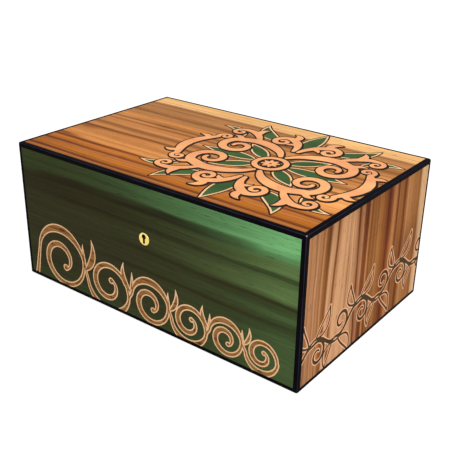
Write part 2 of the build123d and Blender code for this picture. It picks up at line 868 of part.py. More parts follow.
# Twelve o'clock on the dial is towards the front, so that it is upright when the lid stands open.
# The needle is made pointing there and is turned to the humidity shown at rest.
with BuildPart() as needle_blank:
    with BuildSketch(Plane.XY.offset(needle_low)):
        with Locations((dial_x, 0)):
            Circle(hub_r)
        with BuildLine():
            Polyline(
                (dial_x - needle_wide / 2, needle_tail),
                (dial_x + needle_wide / 2, needle_tail),
                (dial_x + needle_tip / 2, -needle_long),
                (dial_x - needle_tip / 2, -needle_long),
                close=True,
            )
        make_face()
    extrude(amount=needle_thick)
    round_plate(spindle_r, needle_low, needle_thick, Mode.SUBTRACT)

with BuildPart() as hygrometer_needle:
    dial_axis = Axis((dial_x, 0, 0), (0, 0, 1))
    add(needle_blank.part.rotate(dial_axis, dial_sweep * (rest_humidity / 100 - 0.5)))

with BuildPart() as hygrometer_spindle:
    round_plate(spindle_r, needle_low, meter_deep - meter_wall - needle_in)

# The band behind the dial bends with the damp air and turns the spindle
band_line = CenterArc((0, 0), band_r, 0, band_sweep)

with BuildPart() as hygrometer_band:
    with BuildSketch(Plane.XY.offset(magnet_low - meter_wall - band_tall)):
        with Locations((dial_x, 0)):
            SlotArc(band_line, band_thick)
    extrude(amount=band_tall)

pieces = {
    "base_corner_edging": base_corner_edging,
    "base_foot_edging": base_foot_edging,
    "felt_pad": felt_pad,
    "base_bottom": base_bottom,
    "base_wall_front": base_wall_front,
    "base_wall_back": base_wall_back,
    "base_wall_sides": base_wall_sides,
    "base_veneer_front": base_veneer_front,
    "base_veneer_back": base_veneer_back,
    "base_veneer_left": base_veneer_left,
    "base_veneer_right": base_veneer_right,
    "lining_floor": lining_floor,
    "lining_long": lining_long,
    "lining_ends": lining_ends,
    "tray_cleats": tray_cleats,
    "keyhole_plate": keyhole_plate,
    "lock_case": lock_case,
    "lock_cap": lock_cap,
    "lock_face": lock_face,
    "lock_key_post": lock_key_post,
    "lock_spring": lock_spring,
    "lock_bolt": lock_bolt,
    "hinge_base_leaves": hinge_base_leaves,
    "hinge_pins": hinge_pins,
    "hinge_arms": hinge_arms,
    "base_screws": base_screws,
    "base_divider": base_divider,
    "tray_long_boards": tray_long_boards,
    "tray_end_boards": tray_end_boards,
    "tray_slats": tray_slats,
    "tray_divider": tray_divider,
    "lid_corner_edging": lid_corner_edging,
    "lid_top_edging": lid_top_edging,
    "lid_panel": lid_panel,
    "lid_rail_front": lid_rail_front,
    "lid_rail_back": lid_rail_back,
    "lid_rail_sides": lid_rail_sides,
    "lid_veneer_front": lid_veneer_front,
    "lid_veneer_back": lid_veneer_back,
    "lid_veneer_left": lid_veneer_left,
    "lid_veneer_right": lid_veneer_right,
    "lid_veneer_top": lid_veneer_top,
    "lid_lining_top": lid_lining_top,
    "lid_lining_long": lid_lining_long,
    "lid_lining_ends": lid_lining_ends,
    "lock_striker": lock_striker,
    "hinge_lid_leaves": hinge_lid_leaves,
    "lid_screws": lid_screws,
    "steel_keepers": steel_keepers,
    "magnets": magnets,
    "humidifier_case": humidifier_case,
    "humidifier_foam": humidifier_foam,
    "humidifier_cover": humidifier_cover,
    "hygrometer_case": hygrometer_case,
    "hygrometer_band": hygrometer_band,
    "hygrometer_dial": hygrometer_dial,
    "hygrometer_glass": hygrometer_glass,
    "hygrometer_bezel": hygrometer_bezel,
    "hygrometer_needle": hygrometer_needle,
    "hygrometer_spindle": hygrometer_spindle,
}

for name, piece in pieces.items():
    piece.part.label = name
    export_step(piece.part, f"parts/{name}.step")
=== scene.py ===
# %% [markdown]
# # A lacquered humidor
# A humidor is a case of boards that keeps its inside at one dampness. This one wears dyed and
# streaked veneers, black rounded edging, inlaid ornament and a deep gloss. The boards, hinges,
# lock and tray come ready-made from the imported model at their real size. This lesson adds what
# the eye sees: wood, brass, lacquer, inlay and light.

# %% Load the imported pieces
import math

import bmesh
import bpy
import numpy as np
from mathutils import Matrix, Vector, noise


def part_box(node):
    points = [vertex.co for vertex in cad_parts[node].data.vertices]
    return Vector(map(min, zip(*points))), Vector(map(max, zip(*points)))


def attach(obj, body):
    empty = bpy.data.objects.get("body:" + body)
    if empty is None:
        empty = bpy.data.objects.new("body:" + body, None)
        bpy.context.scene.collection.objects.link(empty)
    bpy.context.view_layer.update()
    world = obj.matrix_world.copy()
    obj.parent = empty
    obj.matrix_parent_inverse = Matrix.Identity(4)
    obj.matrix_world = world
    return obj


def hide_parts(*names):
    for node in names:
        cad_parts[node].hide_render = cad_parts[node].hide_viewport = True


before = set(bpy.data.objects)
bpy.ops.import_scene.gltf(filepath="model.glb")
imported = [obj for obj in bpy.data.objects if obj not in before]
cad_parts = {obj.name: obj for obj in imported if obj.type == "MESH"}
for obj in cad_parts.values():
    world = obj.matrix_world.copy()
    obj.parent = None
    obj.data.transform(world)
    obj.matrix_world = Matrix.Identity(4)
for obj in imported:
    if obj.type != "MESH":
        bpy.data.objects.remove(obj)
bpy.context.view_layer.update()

MM = 0.001
edging_low, edging_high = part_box("base_corner_edging")
LEFT, FRONT, FOOT = edging_low
RIGHT, BACK = edging_high.x, edging_high.y
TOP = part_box("lid_top_edging")[1].z
SEAM = edging_high.z
WIDE, DEEP, TALL = (v / MM for v in (RIGHT - LEFT, BACK - FRONT, TOP - FOOT))
print("box", [round(v, 1) for v in (WIDE, DEEP, TALL)], "mm, seam at", round(SEAM / MM, 1))

# %% [markdown]
# ## Camera
# A box is photographed from one corner, a little above its lid, so that three faces show. A
# camera could be aimed with a Track To constraint, but then its small tilt about its own axis is
# lost. Building its turn from three angles keeps every number in sight: how far round it
# stands, how far it looks down, and how far it is tipped.

# %% Stand the camera at the corner
CAMERA_PLACE = Vector((0.49221, -0.62979, 0.44409))
ROUND, DOWN, TIPPED = (math.radians(angle) for angle in (37.60, 24.86, 0.83))
FOCAL, FILM = 61.75, 36.0
NEAREST, FARTHEST = 0.01, 100.0

right = Vector((math.cos(ROUND), math.sin(ROUND), 0))
up = Vector((-math.sin(ROUND) * math.sin(DOWN), math.cos(ROUND) * math.sin(DOWN), math.cos(DOWN)))
ahead = up.cross(right)
tipped_right = right * math.cos(TIPPED) + up * math.sin(TIPPED)
tipped_up = up * math.cos(TIPPED) - right * math.sin(TIPPED)

lens = bpy.data.cameras.new("camera")
lens.lens, lens.sensor_width = FOCAL, FILM
lens.sensor_fit = "HORIZONTAL"
lens.clip_start, lens.clip_end = NEAREST, FARTHEST
camera = bpy.data.objects.new("camera", lens)
camera.matrix_world = Matrix((tipped_right, tipped_up, -ahead)).transposed().to_4x4()
camera.location = CAMERA_PLACE
bpy.context.scene.collection.objects.link(camera)
bpy.context.scene.camera = camera
print("camera looks", [round(v, 3) for v in ahead])

# %% [markdown]
# ## Mixing a finish
# Every finish in Blender is a tree of nodes. Drawing the trees by hand in the editor is pleasant,
# but a lesson has to write them down, and raw node code is long. A small helper class shortens
# it: `Recipe` opens a material, sets the values that are the same all over, and has one short
# word for each kind of node. Places on the wood are read in metres from the object's own
# coordinates, so a band of 20 mm is 20 mm on every board.

# %% Colours as a painter names them
def paint(red, green, blue):
    """A colour from its values of 0 to 255 on a screen, as the light values that nodes use."""
    channels = [v / 255 for v in (red, green, blue)]
    return [c / 12.92 if c <= 0.04045 else ((c + 0.055) / 1.055) ** 2.4 for c in channels] + [1.0]


# %% The recipe helper
MOST_STOPS = 32
REDDENING = (1.25, 1.6)


class Recipe:
    """A finish being mixed: its node tree, its shader and short words for adding nodes."""

    def __init__(self, name, **constants):
        self.material = bpy.data.materials.new(name)
        self.material.use_nodes = True
        self.tree = self.material.node_tree
        self.shader = self.tree.nodes["Principled BSDF"]
        for socket, value in constants.items():
            self.shader.inputs[socket.replace("_", " ")].default_value = value
        self.place = self.node("ShaderNodeTexCoord").outputs["Object"]

    def node(self, kind, **settings):
        made = self.tree.nodes.new(kind)
        for key, value in settings.items():
            setattr(made, key, value)
        return made

    def plug(self, socket, value):
        """A socket takes another node's output, a number or a colour."""
        if isinstance(value, bpy.types.NodeSocket):
            self.tree.links.new(value, socket)
        else:
            socket.default_value = value

    def math(self, operation, first, second=0.0, clamp=False):
        made = self.node("ShaderNodeMath", operation=operation, use_clamp=clamp)
        self.plug(made.inputs[0], first)
        self.plug(made.inputs[1], second)
        return made.outputs[0]

    def axes(self):
        parts = self.node("ShaderNodeSeparateXYZ")
        self.plug(parts.inputs[0], self.place)
        return {"X": parts.outputs[0], "Y": parts.outputs[1], "Z": parts.outputs[2]}

    def vector(self, x=0.0, y=0.0, z=0.0):
        made = self.node("ShaderNodeCombineXYZ")
        for socket, value in zip(made.inputs, (x, y, z)):
            self.plug(socket, value)
        return made.outputs[0]

    def noise(self, where, scale=1.0, detail=2.0, rough=0.5):
        made = self.node("ShaderNodeTexNoise")
        self.plug(made.inputs["Vector"], where)
        for socket, value in (("Scale", scale), ("Detail", detail), ("Roughness", rough)):
            self.plug(made.inputs[socket], value)
        return made.outputs["Fac"]

    def stretched(self, order, *rates):
        """A place for noise: the axes in the order named, each with its waves to a metre."""
        axes = self.axes()
        return self.vector(*[self.math("MULTIPLY", axes[a], rate) for a, rate in zip(order, rates)])

    def grain(self, run, cross, long, close, seed=0.0, detail=3, rough=0.55):
        """Noise drawn out along the grain: about so many waves to a metre along it and across it."""
        where = self.vector(self.math("MULTIPLY", run, long), self.math("MULTIPLY", cross, close), seed)
        return self.noise(where, 1.0, detail, rough)

    def cells(self, where, scale):
        made = self.node("ShaderNodeTexVoronoi", feature="F1")
        self.plug(made.inputs["Vector"], where)
        self.plug(made.inputs["Scale"], scale)
        return made.outputs["Distance"]

    def span(self, value, low, high, new_low=0.0, new_high=1.0):
        """A value between two limits, moved to lie between two others."""
        made = self.node("ShaderNodeMapRange")
        for socket, number in zip(made.inputs, (value, low, high, new_low, new_high)):
            self.plug(socket, number)
        return made.outputs[0]

    def vary(self, value, low, high):
        """Noise stretched to lie between two values. Nearly all of it lies from 0.3 to 0.7."""
        return self.span(value, 0.3, 0.7, low, high)

    def ramp(self, value, stops, kind="LINEAR"):
        """Colours along a scale from 0 to 1, given as (place, colour) pairs in order."""
        made = self.node("ShaderNodeValToRGB")
        bar = made.color_ramp
        bar.interpolation = kind
        for place, _ in stops[1:-1]:
            bar.elements.new(place)
        for element, (place, colour) in zip(bar.elements, stops):
            element.position, element.color = place, colour
        self.plug(made.inputs[0], value)
        return made.outputs["Color"]

    def two_tone(self, value, dark, light):
        """Noise turned into two colours and all between them."""
        return self.ramp(value, [(0.3, dark), (0.7, light)])

    def tones(self, value, stops):
        """A soft ramp of any length. A list too long for one ramp is cut in two."""
        if len(stops) <= MOST_STOPS:
            return self.ramp(value, stops, "EASE")
        half = len(stops) // 2
        near, far = self.tones(value, stops[:half + 1]), self.tones(value, stops[half:])
        return self.mix(self.math("GREATER_THAN", value, stops[half][0]), near, far)

    def mix(self, share, first, second, kind="MIX"):
        made = self.node("ShaderNodeMix", data_type="RGBA", blend_type=kind)
        self.plug(made.inputs["Factor"], share)
        self.plug(made.inputs[6], first)
        self.plug(made.inputs[7], second)
        return made.outputs[2]

    def shade(self, colour, value):
        """The colour made darker or lighter by a plain factor."""
        return self.mix(1.0, colour, self.vector(value, value, value), "MULTIPLY")

    def stain(self, colour, value):
        """The colour made darker or lighter as wood is: what darkens also turns redder."""
        green, blue = (self.math("POWER", value, power) for power in REDDENING)
        return self.mix(1.0, colour, self.vector(value, green, blue), "MULTIPLY")

    def offset(self, value, middle, radius):
        """How many radii a value lies from a middle, both given in mm."""
        return self.math("DIVIDE", self.math("SUBTRACT", value, middle * MM), radius * MM)

    def bell(self, *offsets):
        """1 where all the offsets are 0, falling softly to nearly nothing two radii away."""
        total = 0.0
        for offset in offsets:
            total = self.math("ADD", total, self.math("MULTIPLY", offset, offset))
        return self.math("EXPONENT", self.math("MULTIPLY", total, -1.0))

    def spot(self, colour, run, cross, places):
        """Soft oval stains, each (run, cross, run radius, cross radius, gain) in mm, on a colour."""
        for run_at, cross_at, run_r, cross_r, gain in places:
            near = self.bell(self.offset(run, run_at, run_r), self.offset(cross, cross_at, cross_r))
            colour = self.stain(colour, self.span(near, 0, 1, 1.0, gain))
        return colour

    def bump(self, height, depth):
        """A relief whose full height is the given depth in metres."""
        made = self.node("ShaderNodeBump")
        self.plug(made.inputs["Strength"], 1.0)
        self.plug(made.inputs["Distance"], depth)
        self.plug(made.inputs["Height"], height)
        return made.outputs["Normal"]

    def done(self, colour=None, rough=None, normal=None):
        """Plugs what was mixed into the shader and gives the material."""
        for socket, value in (("Base Color", colour), ("Roughness", rough), ("Normal", normal)):
            if value is not None:
                self.plug(self.shader.inputs[socket], value)
        return self.material


# %% Give a finish to ready-made pieces
def wear(material, *nodes):
    """Puts one material on every slot of the named ready-made pieces."""
    for name in nodes:
        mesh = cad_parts[name].data
        mesh.materials.clear()
        mesh.materials.append(material)
    print(material.name, "on", len(nodes), "pieces")


# %% [markdown]
# ## Streaked veneer
# The brown faces carry a veneer with pale sapwood at one edge and dark streaks that run the whole
# length of the sheet. A wave texture would repeat like a zebra, and plain noise would not give
# the wide calm bands. So each sheet is written down as a veneer buyer would describe it: a list
# of tones across the grain, each at its place in millimetres, and a second list of dark lines.
# Noise then bends the bands, breaks up the lines and adds fibres and pores.

# %% Tones of the streaked wood
TONES = {
    "cream": paint(249, 192, 124),
    "sapwood": paint(220, 173, 127),
    "fawn": paint(198, 147, 98),
    "honey": paint(214, 140, 73),
    "amber": paint(201, 131, 71),
    "tan": paint(182, 123, 70),
    "blush": paint(204, 150, 106),
    "clay": paint(176, 122, 80),
    "russet": paint(177, 108, 52),
    "nut": paint(161, 103, 51),
    "brown": paint(142, 84, 32),
    "orange": paint(177, 103, 30),
    "rust": paint(190, 110, 38),
    "umber": paint(130, 63, 18),
    "dark": paint(102, 45, 6),
}
STREAK = paint(46, 14, 2)
LINES_A_RAMP = 10
FIBRE_DEPTH = 0.02 * MM
COAT = dict(Coat_Weight=0.1, Coat_Roughness=0.04, Coat_IOR=1.45, Specular_IOR_Level=0.0)


def band_stops(bands, wide, tones=TONES):
    """Ramp stops from (millimetres, tone) pairs across a sheet."""
    return [(place / wide, tones[tone]) for place, tone in bands]


def line_stops(lines, wide):
    """Ramp stops for dark lines: (millimetres, half width, how dark from 0 to 1)."""
    stops = [(0.0, [0, 0, 0, 1])]
    for place, half, dark in lines:
        for shift, level in ((-half, 0), (0, dark), (half, 0)):
            stops.append(((place + shift) / wide, [level] * 3 + [1]))
    return stops + [(1.0, [0, 0, 0, 1])]


# %% How the bands of a sheet bend
def fanned(wood, run, cross, middle, rate):
    """Bands that spread from a middle, in mm, by so much for each mm along the run."""
    spread = wood.math("ADD", wood.math("MULTIPLY", run, rate / MM), 1.0)
    off = wood.math("SUBTRACT", cross, middle * MM)
    return wood.math("ADD", wood.math("DIVIDE", off, spread), middle * MM)


def swollen(wood, run, cross, heart, radius, rate):
    """One band that widens along the run, as round the heart of a board."""
    off = wood.offset(cross, heart, radius)
    push = wood.math("MULTIPLY", off, wood.bell(off))
    return wood.math("SUBTRACT", cross, wood.math("MULTIPLY", push, wood.math("MULTIPLY", run, rate)))


def wandering(wood, run, cross, *moves):
    """Bands that never run quite straight. Each move is (long, close, seed, detail, most mm)."""
    bent = cross
    for long, close, seed, detail, most in moves:
        wave = wood.grain(run, cross, long, close, seed, detail)
        bent = wood.math("ADD", bent, wood.span(wave, 0.2, 0.8, -most * MM, most * MM))
    return bent


# %% What both sorts of sheet share
def layered(wood, colour, apply, *layers):
    """Darkens and lightens a colour by layers of noise, each (noise, darkest, lightest)."""
    for layer, low, high in layers:
        colour = apply(colour, wood.span(layer, 0.28, 0.72, low, high))
    return colour


def pored(wood, colour, run, bent, seed, dark):
    """The fine open pores of the wood, filled with lacquer."""
    pores = wood.grain(run, bent, 160, 2600, seed, 2)
    return wood.shade(colour, wood.span(pores, 0.60, 0.72, 1.0, dark))


# %% The dark lines of a streaked sheet
def dark_lines(wood, run, bent, share, lines, wide, seed):
    """How much of the streaks' colour shows: threads, the sheet's own lines, broken up, and dashes."""
    dark = wood.span(wood.grain(run, bent, 2.4, 300, seed + 11, 2), 0.6, 0.68, 0, 0.45)
    broken = wood.span(wood.grain(run, bent, 9, 60, seed + 13), 0.34, 0.56, 0.5, 1.0)
    for first in range(0, len(lines), LINES_A_RAMP):
        some = wood.ramp(share, line_stops(lines[first:first + LINES_A_RAMP], wide))
        dark = wood.math("MAXIMUM", dark, wood.math("MULTIPLY", some, broken))
    dashes = wood.span(wood.grain(run, bent, 60, 620, seed + 15, 2), 0.64, 0.7, 0, 0.55)
    return wood.math("MAXIMUM", dark, dashes, clamp=True)


# %% One sheet of streaked veneer
def streaked_veneer(
    name, run_from, cross_from, bands, lines, wide, seed, fan=None, spots=(), swell=None
):
    """A sheet with its grain along the run. Run and cross are each (axis, start, direction), and
    bands and lines lie at their cross in mm. A fan (middle, rate) spreads them along the run, and
    a swell (middle, radius, rate) widens one band alone."""
    wood = Recipe(name, **COAT)
    axes = wood.axes()
    run, cross = (
        wood.math("MULTIPLY", wood.math("SUBTRACT", axes[axis], start), way)
        for axis, start, way in (run_from, cross_from)
    )
    if fan:
        cross = fanned(wood, run, cross, *fan)
    if swell:
        cross = swollen(wood, run, cross, *swell)
    bent = wandering(wood, run, cross, (5, 12, seed, 2, 2.4), (24, 70, seed + 3, 3, 0.7))
    share = wood.math("DIVIDE", bent, wide * MM)
    colour = wood.tones(share, band_stops(bands, wide))

    clouds = wood.grain(run, bent, 5, 34, seed + 5, 2)
    streaks = wood.grain(run, bent, 3, 230, seed + 7, 3, 0.65)
    fibres = wood.grain(run, bent, 11, 760, seed + 9, 4, 0.65)
    layers = (clouds, 0.9, 1.12), (streaks, 0.76, 1.22), (fibres, 0.86, 1.14)
    colour = layered(wood, colour, wood.stain, *layers)
    colour = wood.spot(colour, run, cross, spots)
    dark = dark_lines(wood, run, bent, share, lines, wide, seed)
    colour = pored(wood, wood.mix(dark, colour, STREAK), run, bent, seed + 17, 0.8)
    return wood.done(colour, 0.5, wood.bump(fibres, FIBRE_DEPTH))


# %% The top sheet, from the back edge to the front
top_bands = [
    (0, "cream"), (25, "cream"), (29, "fawn"), (32, "nut"), (37, "tan"), (55, "tan"), (63, "nut"),
    (68.5, "nut"), (74, "tan"), (79, "tan"), (85.5, "honey"), (93, "honey"), (101.5, "nut"),
    (107.5, "amber"), (111.5, "russet"), (118, "amber"), (127, "amber"), (134, "nut"), (138, "nut"),
    (141.5, "amber"), (145.5, "amber"), (151, "brown"), (154, "russet"), (158.5, "honey"),
    (168, "amber"), (177, "honey"), (191, "honey"), (196, "umber"), (201, "rust"), (206.5, "rust"),
    (212, "umber"), (216, "russet"), (222, "rust"), (230, "orange"), (235, "umber"), (239, "russet"),
    (248, "brown"),
]
top_lines = [
    (28.5, 1, 0.35), (33, 1.2, 0.35), (59, 0.8, 0.3), (65.3, 1.8, 0.6), (68.8, 0.8, 0.3),
    (80, 0.6, 0.25), (96, 0.7, 0.3), (101.8, 1.3, 0.5), (105, 0.8, 0.35), (112, 1.3, 0.5),
    (118, 0.6, 0.2), (130.5, 0.7, 0.3), (135.5, 1.2, 0.5), (138, 0.8, 0.3), (149.3, 1.2, 0.6),
    (152.3, 1, 0.45), (163, 0.5, 0.2), (172, 0.5, 0.2), (184, 0.5, 0.25), (192.5, 0.6, 0.3),
    (195.6, 0.9, 0.5), (198.3, 1.1, 0.5), (203, 0.5, 0.3), (208, 0.8, 0.4), (210.8, 1.2, 0.5),
    (217, 0.5, 0.3), (224, 0.6, 0.3), (228, 0.5, 0.2), (232.5, 1, 0.6), (235.5, 1.3, 0.75),
    (241, 0.8, 0.45),
]
top_spots = [
    (358, 168, 36, 24, 1.5), (90, 102, 14, 4.2, 0.68), (14, 100, 18, 5, 1.15), (13, 158, 20, 5.5, 0.56),
    (170, 12, 80, 22, 0.92), (10, 232, 60, 34, 0.86), (12, 190, 24, 4.2, 0.34), (40, 197, 50, 3, 0.9),
    (30, 212, 50, 3, 0.88), (30, 234, 26, 2, 0.78), (60, 188, 60, 6, 1.04), (118, 154, 42, 2.8, 1.22),
]
top_sheet = streaked_veneer(
    "streaked_veneer_top", ("X", LEFT, 1), ("Y", BACK, -1), top_bands, top_lines, DEEP, 1.0,
    spots=top_spots,
)
wear(top_sheet, "lid_veneer_top")

# %% The side sheets, from the front edge to the back
side_bands = [
    (0, "clay"), (27, "clay"), (31, "nut"), (34, "clay"), (37.5, "nut"), (42, "brown"), (46, "blush"),
    (52.5, "blush"), (56, "brown"), (59.5, "clay"), (64.5, "blush"), (87, "blush"), (91, "clay"),
    (95, "umber"), (99, "clay"), (103, "clay"), (107, "umber"), (112, "umber"), (115.5, "tan"),
    (119, "brown"), (135, "nut"), (147, "brown"), (151, "umber"), (155.5, "dark"), (160, "umber"),
    (168, "tan"), (175, "umber"), (179, "nut"), (185, "brown"), (190, "umber"), (194, "nut"),
    (198, "tan"), (221, "nut"), (224.5, "brown"), (228, "sapwood"), (248, "sapwood"),
]
side_lines = [
    (13, 0.5, 0.3), (20.5, 0.6, 0.45), (26, 0.5, 0.2), (31, 1, 0.5), (38, 1.4, 0.6), (41, 0.8, 0.6),
    (44, 1.2, 0.7), (51, 0.5, 0.2), (56, 1.5, 0.85), (72, 0.4, 0.12), (84, 0.5, 0.15), (94.5, 1.7, 0.85),
    (99, 0.4, 0.2), (106.3, 1.2, 0.65), (109.5, 1.1, 0.75), (113, 1.2, 0.65), (120, 1.2, 0.6),
    (126, 0.5, 0.25), (132.5, 1, 0.5), (141, 0.5, 0.2), (150, 0.8, 0.5), (154.5, 1.6, 0.85),
    (158, 0.8, 0.5), (164, 0.8, 0.3), (174.5, 1.3, 0.65), (182, 0.5, 0.2), (187, 0.6, 0.4),
    (190.5, 1.4, 0.8), (194.5, 0.5, 0.3), (210, 0.4, 0.15), (222, 0.8, 0.45), (225.5, 0.9, 0.5),
]
side_spots = [
    (25, 108, 40, 10, 0.86), (25, 155, 40, 10, 0.88), (76, 131, 36, 24, 1.15), (80, 108, 26, 8, 1.3),
    (85, 203, 24, 16, 0.62), (85, 227, 24, 8, 0.75), (12, 43, 24, 5, 0.64), (24, 38, 30, 4, 0.75),
    (15, 56, 26, 4, 0.84), (0, 120, 16, 120, 0.84), (15, 94.5, 26, 3.5, 0.7), (12, 108, 24, 6, 0.72),
    (15, 132, 26, 4, 0.84), (15, 174, 26, 5, 0.88), (15, 191, 30, 4, 0.8), (85, 159, 25, 7, 1.6),
    (110, 75, 40, 20, 1.05), (75, 18, 40, 14, 1.12),
]
SIDE_FAN = (100, 0.0003)
SIDE_SWELL = (78, 24, 0.09)
for side, seed in (("right", 21.0), ("left", 43.0)):
    sheet = streaked_veneer(
        f"streaked_veneer_{side}", ("Z", TOP, -1), ("Y", FRONT, 1), side_bands, side_lines, DEEP, seed,
        fan=SIDE_FAN, spots=side_spots, swell=SIDE_SWELL,
    )
    wear(sheet, f"base_veneer_{side}", f"lid_veneer_{side}")

# %% The back sheet, from the top edge down
back_bands = [
    (0, "tan"), (12, "honey"), (24, "nut"), (30, "umber"), (38, "tan"), (66, "honey"), (74, "umber"),
    (82, "tan"), (104, "nut"), (112, "dark"), (120, "tan"), (150, "nut"), (164, "sapwood"),
]
back_lines = [
    (8, 0.7, 0.4), (16, 1.0, 0.6), (29, 1.3, 0.8), (35, 1.0, 0.7), (48, 0.6, 0.3), (73, 1.4, 0.9),
    (79, 0.9, 0.7), (94, 0.7, 0.4), (110, 1.8, 0.8), (116, 0.9, 0.6), (140, 1.0, 0.7), (154, 1.0, 0.8),
]
back_sheet = streaked_veneer(
    "streaked_veneer_back", ("X", RIGHT, -1), ("Z", TOP, -1), back_bands, back_lines, TALL, 65.0
)
wear(back_sheet, "base_veneer_back", "lid_veneer_back")

# %% [markdown]
# ## Green front
# The front sheet is the same sort of wood, dyed green. Its green is bright near the lid and towards the
# right and nearly black-green near the floor, partly from uneven dye and partly from a sheen of light
# painted into the colour. The wood's own brown streaks show through it. A plain green over a bump map
# would look like painted metal, so the colour is mixed from a green that follows both directions and
# brown bands laid over it.

# %% Tones of the dyed wood, with the bright greens of its painted sheen
# The brightest greens stand partly for a sheen of light painted onto the dye.
DYE_AND_SHEEN = {
    "bog": paint(46, 43, 19),
    "olive": paint(53, 52, 27),
    "moss": paint(54, 63, 31),
    "bottle": paint(70, 91, 51),
    "fern": paint(92, 116, 66),
    "leaf": paint(97, 147, 90),
    "grass": paint(118, 182, 117),
}
BOG_STREAK = paint(37, 31, 12)
shaded_bands = [
    (0, "moss"), (22, "moss"), (28, "bog"), (46, "bog"), (60, "olive"), (92, "olive"),
    (130, "olive"), (164, "moss"),
]
dye_and_sheen_bands = [
    # The greens towards the right and near the lid: partly uneven dye, partly a painted sheen of light.
    (0, "grass"), (23, "grass"), (30, "leaf"), (37, "fern"), (45, "fern"), (50, "bottle"), (57, "fern"),
    (66, "fern"), (75, "moss"), (88, "bottle"), (98, "moss"), (110, "bottle"), (164, "bottle"),
]
brown_streaks = [
    (28, 7.0, 0.85, 48, 308), (39, 1.2, 0.3, 0, 250), (49, 2.6, 0.5, 80, 380),
    (57, 1.2, 0.3, 150, 300), (74, 2.6, 0.5, 170, 380), (82, 1.4, 0.35, 0, 220),
    (98, 2.4, 0.45, 150, 345), (112, 1.2, 0.3, 40, 200),
]
FADE_OUT = 30


# %% Where the dye and its painted sheen are bright, and the streaks under it
def dye(wood, run, drop, share):
    """The green at each place: shaded at the left, and brighter at the right, partly dye and partly
    painted sheen, most so near the lid.
    """
    shaded = wood.tones(share, band_stops(shaded_bands, TALL, DYE_AND_SHEEN))
    green_with_sheen = wood.tones(share, band_stops(dye_and_sheen_bands, TALL, DYE_AND_SHEEN))
    # How far the painted sheen reaches: most at the right, and less lower down.
    sheen_toward_right = wood.span(run, 20 * MM, 360 * MM)
    sheen_falloff_down = wood.span(drop, 20 * MM, 45 * MM, 2.8, 3.6)
    return wood.mix(wood.math("POWER", sheen_toward_right, sheen_falloff_down), shaded, green_with_sheen)


def brown_under(wood, colour, run, bent):
    """The wood's own streaks, each (drop, half width, how dark, start, end) in mm."""
    broken = wood.span(wood.grain(run, bent, 5, 40, 8.0, 2), 0.36, 0.6, 0.4, 1.1)
    for place, half, dark, start, end in brown_streaks:
        off = wood.math("ABSOLUTE", wood.math("SUBTRACT", bent, place * MM))
        near = wood.span(off, 0.5 * half * MM, half * MM, dark, 0)
        for edge, far in ((start, start - FADE_OUT), (end, end + FADE_OUT)):
            near = wood.math("MULTIPLY", near, wood.span(run, far * MM, edge * MM))
        colour = wood.mix(wood.math("MULTIPLY", near, broken, clamp=True), colour, BOG_STREAK)
    return colour


# %% The dyed sheet
def dyed_veneer(name):
    wood = Recipe(name, **COAT)
    axes = wood.axes()
    run, drop = wood.math("SUBTRACT", axes["X"], LEFT), wood.math("SUBTRACT", TOP, axes["Z"])
    bent = wandering(wood, run, drop, (5, 20, 2.0, 2, 3.5), (20, 90, 3.0, 3, 0.9))
    colour = dye(wood, run, drop, wood.math("DIVIDE", bent, TALL * MM))
    clouds = wood.grain(run, bent, 6, 40, 4.0, 2)
    streaks = wood.grain(run, bent, 3.5, 170, 5.0, 3, 0.6)
    fibres = wood.grain(run, bent, 10, 640, 6.0, 4, 0.65)
    layers = (clouds, 0.88, 1.12), (streaks, 0.84, 1.18), (fibres, 0.86, 1.14)
    colour = layered(wood, colour, wood.shade, *layers)
    colour = brown_under(wood, colour, run, bent)
    hairs = wood.grain(run, bent, 16, 1500, 9.0, 2)
    colour = wood.shade(colour, wood.vary(hairs, 0.84, 1.16))
    dashes = wood.span(wood.grain(run, bent, 60, 620, 10.0, 2), 0.62, 0.7, 0, 0.5)
    colour = wood.mix(dashes, colour, BOG_STREAK)
    colour = pored(wood, colour, run, bent, 11.0, 0.78)
    return wood.done(colour, 0.5, wood.bump(fibres, FIBRE_DEPTH))


wear(dyed_veneer("dyed_veneer_front"), "base_veneer_front", "lid_veneer_front")

# %% [markdown]
# ## Black edging
# The edging is solid and polished: it hides the joints of the boards and takes the knocks. Black
# shows nothing but what it reflects, so its colour barely matters and its gloss is everything.
# Along its crests a fine bluish grey line and at its corners a pale spot are painted into the colour as
# highlights, and noise breaks the line up a little. They are found by how deep a point lies under each
# of the box's outer planes: on a crest the two smallest of these depths are alike, and at a corner all
# three are.

# %% The edging's finish
# How wide the painted highlight is along a crest, and how large the painted highlight spot is at a
# corner.
CREST_HIGHLIGHT_WIDTH, CORNER_HIGHLIGHT_SIZE = 1.0 * MM, 1.1 * MM


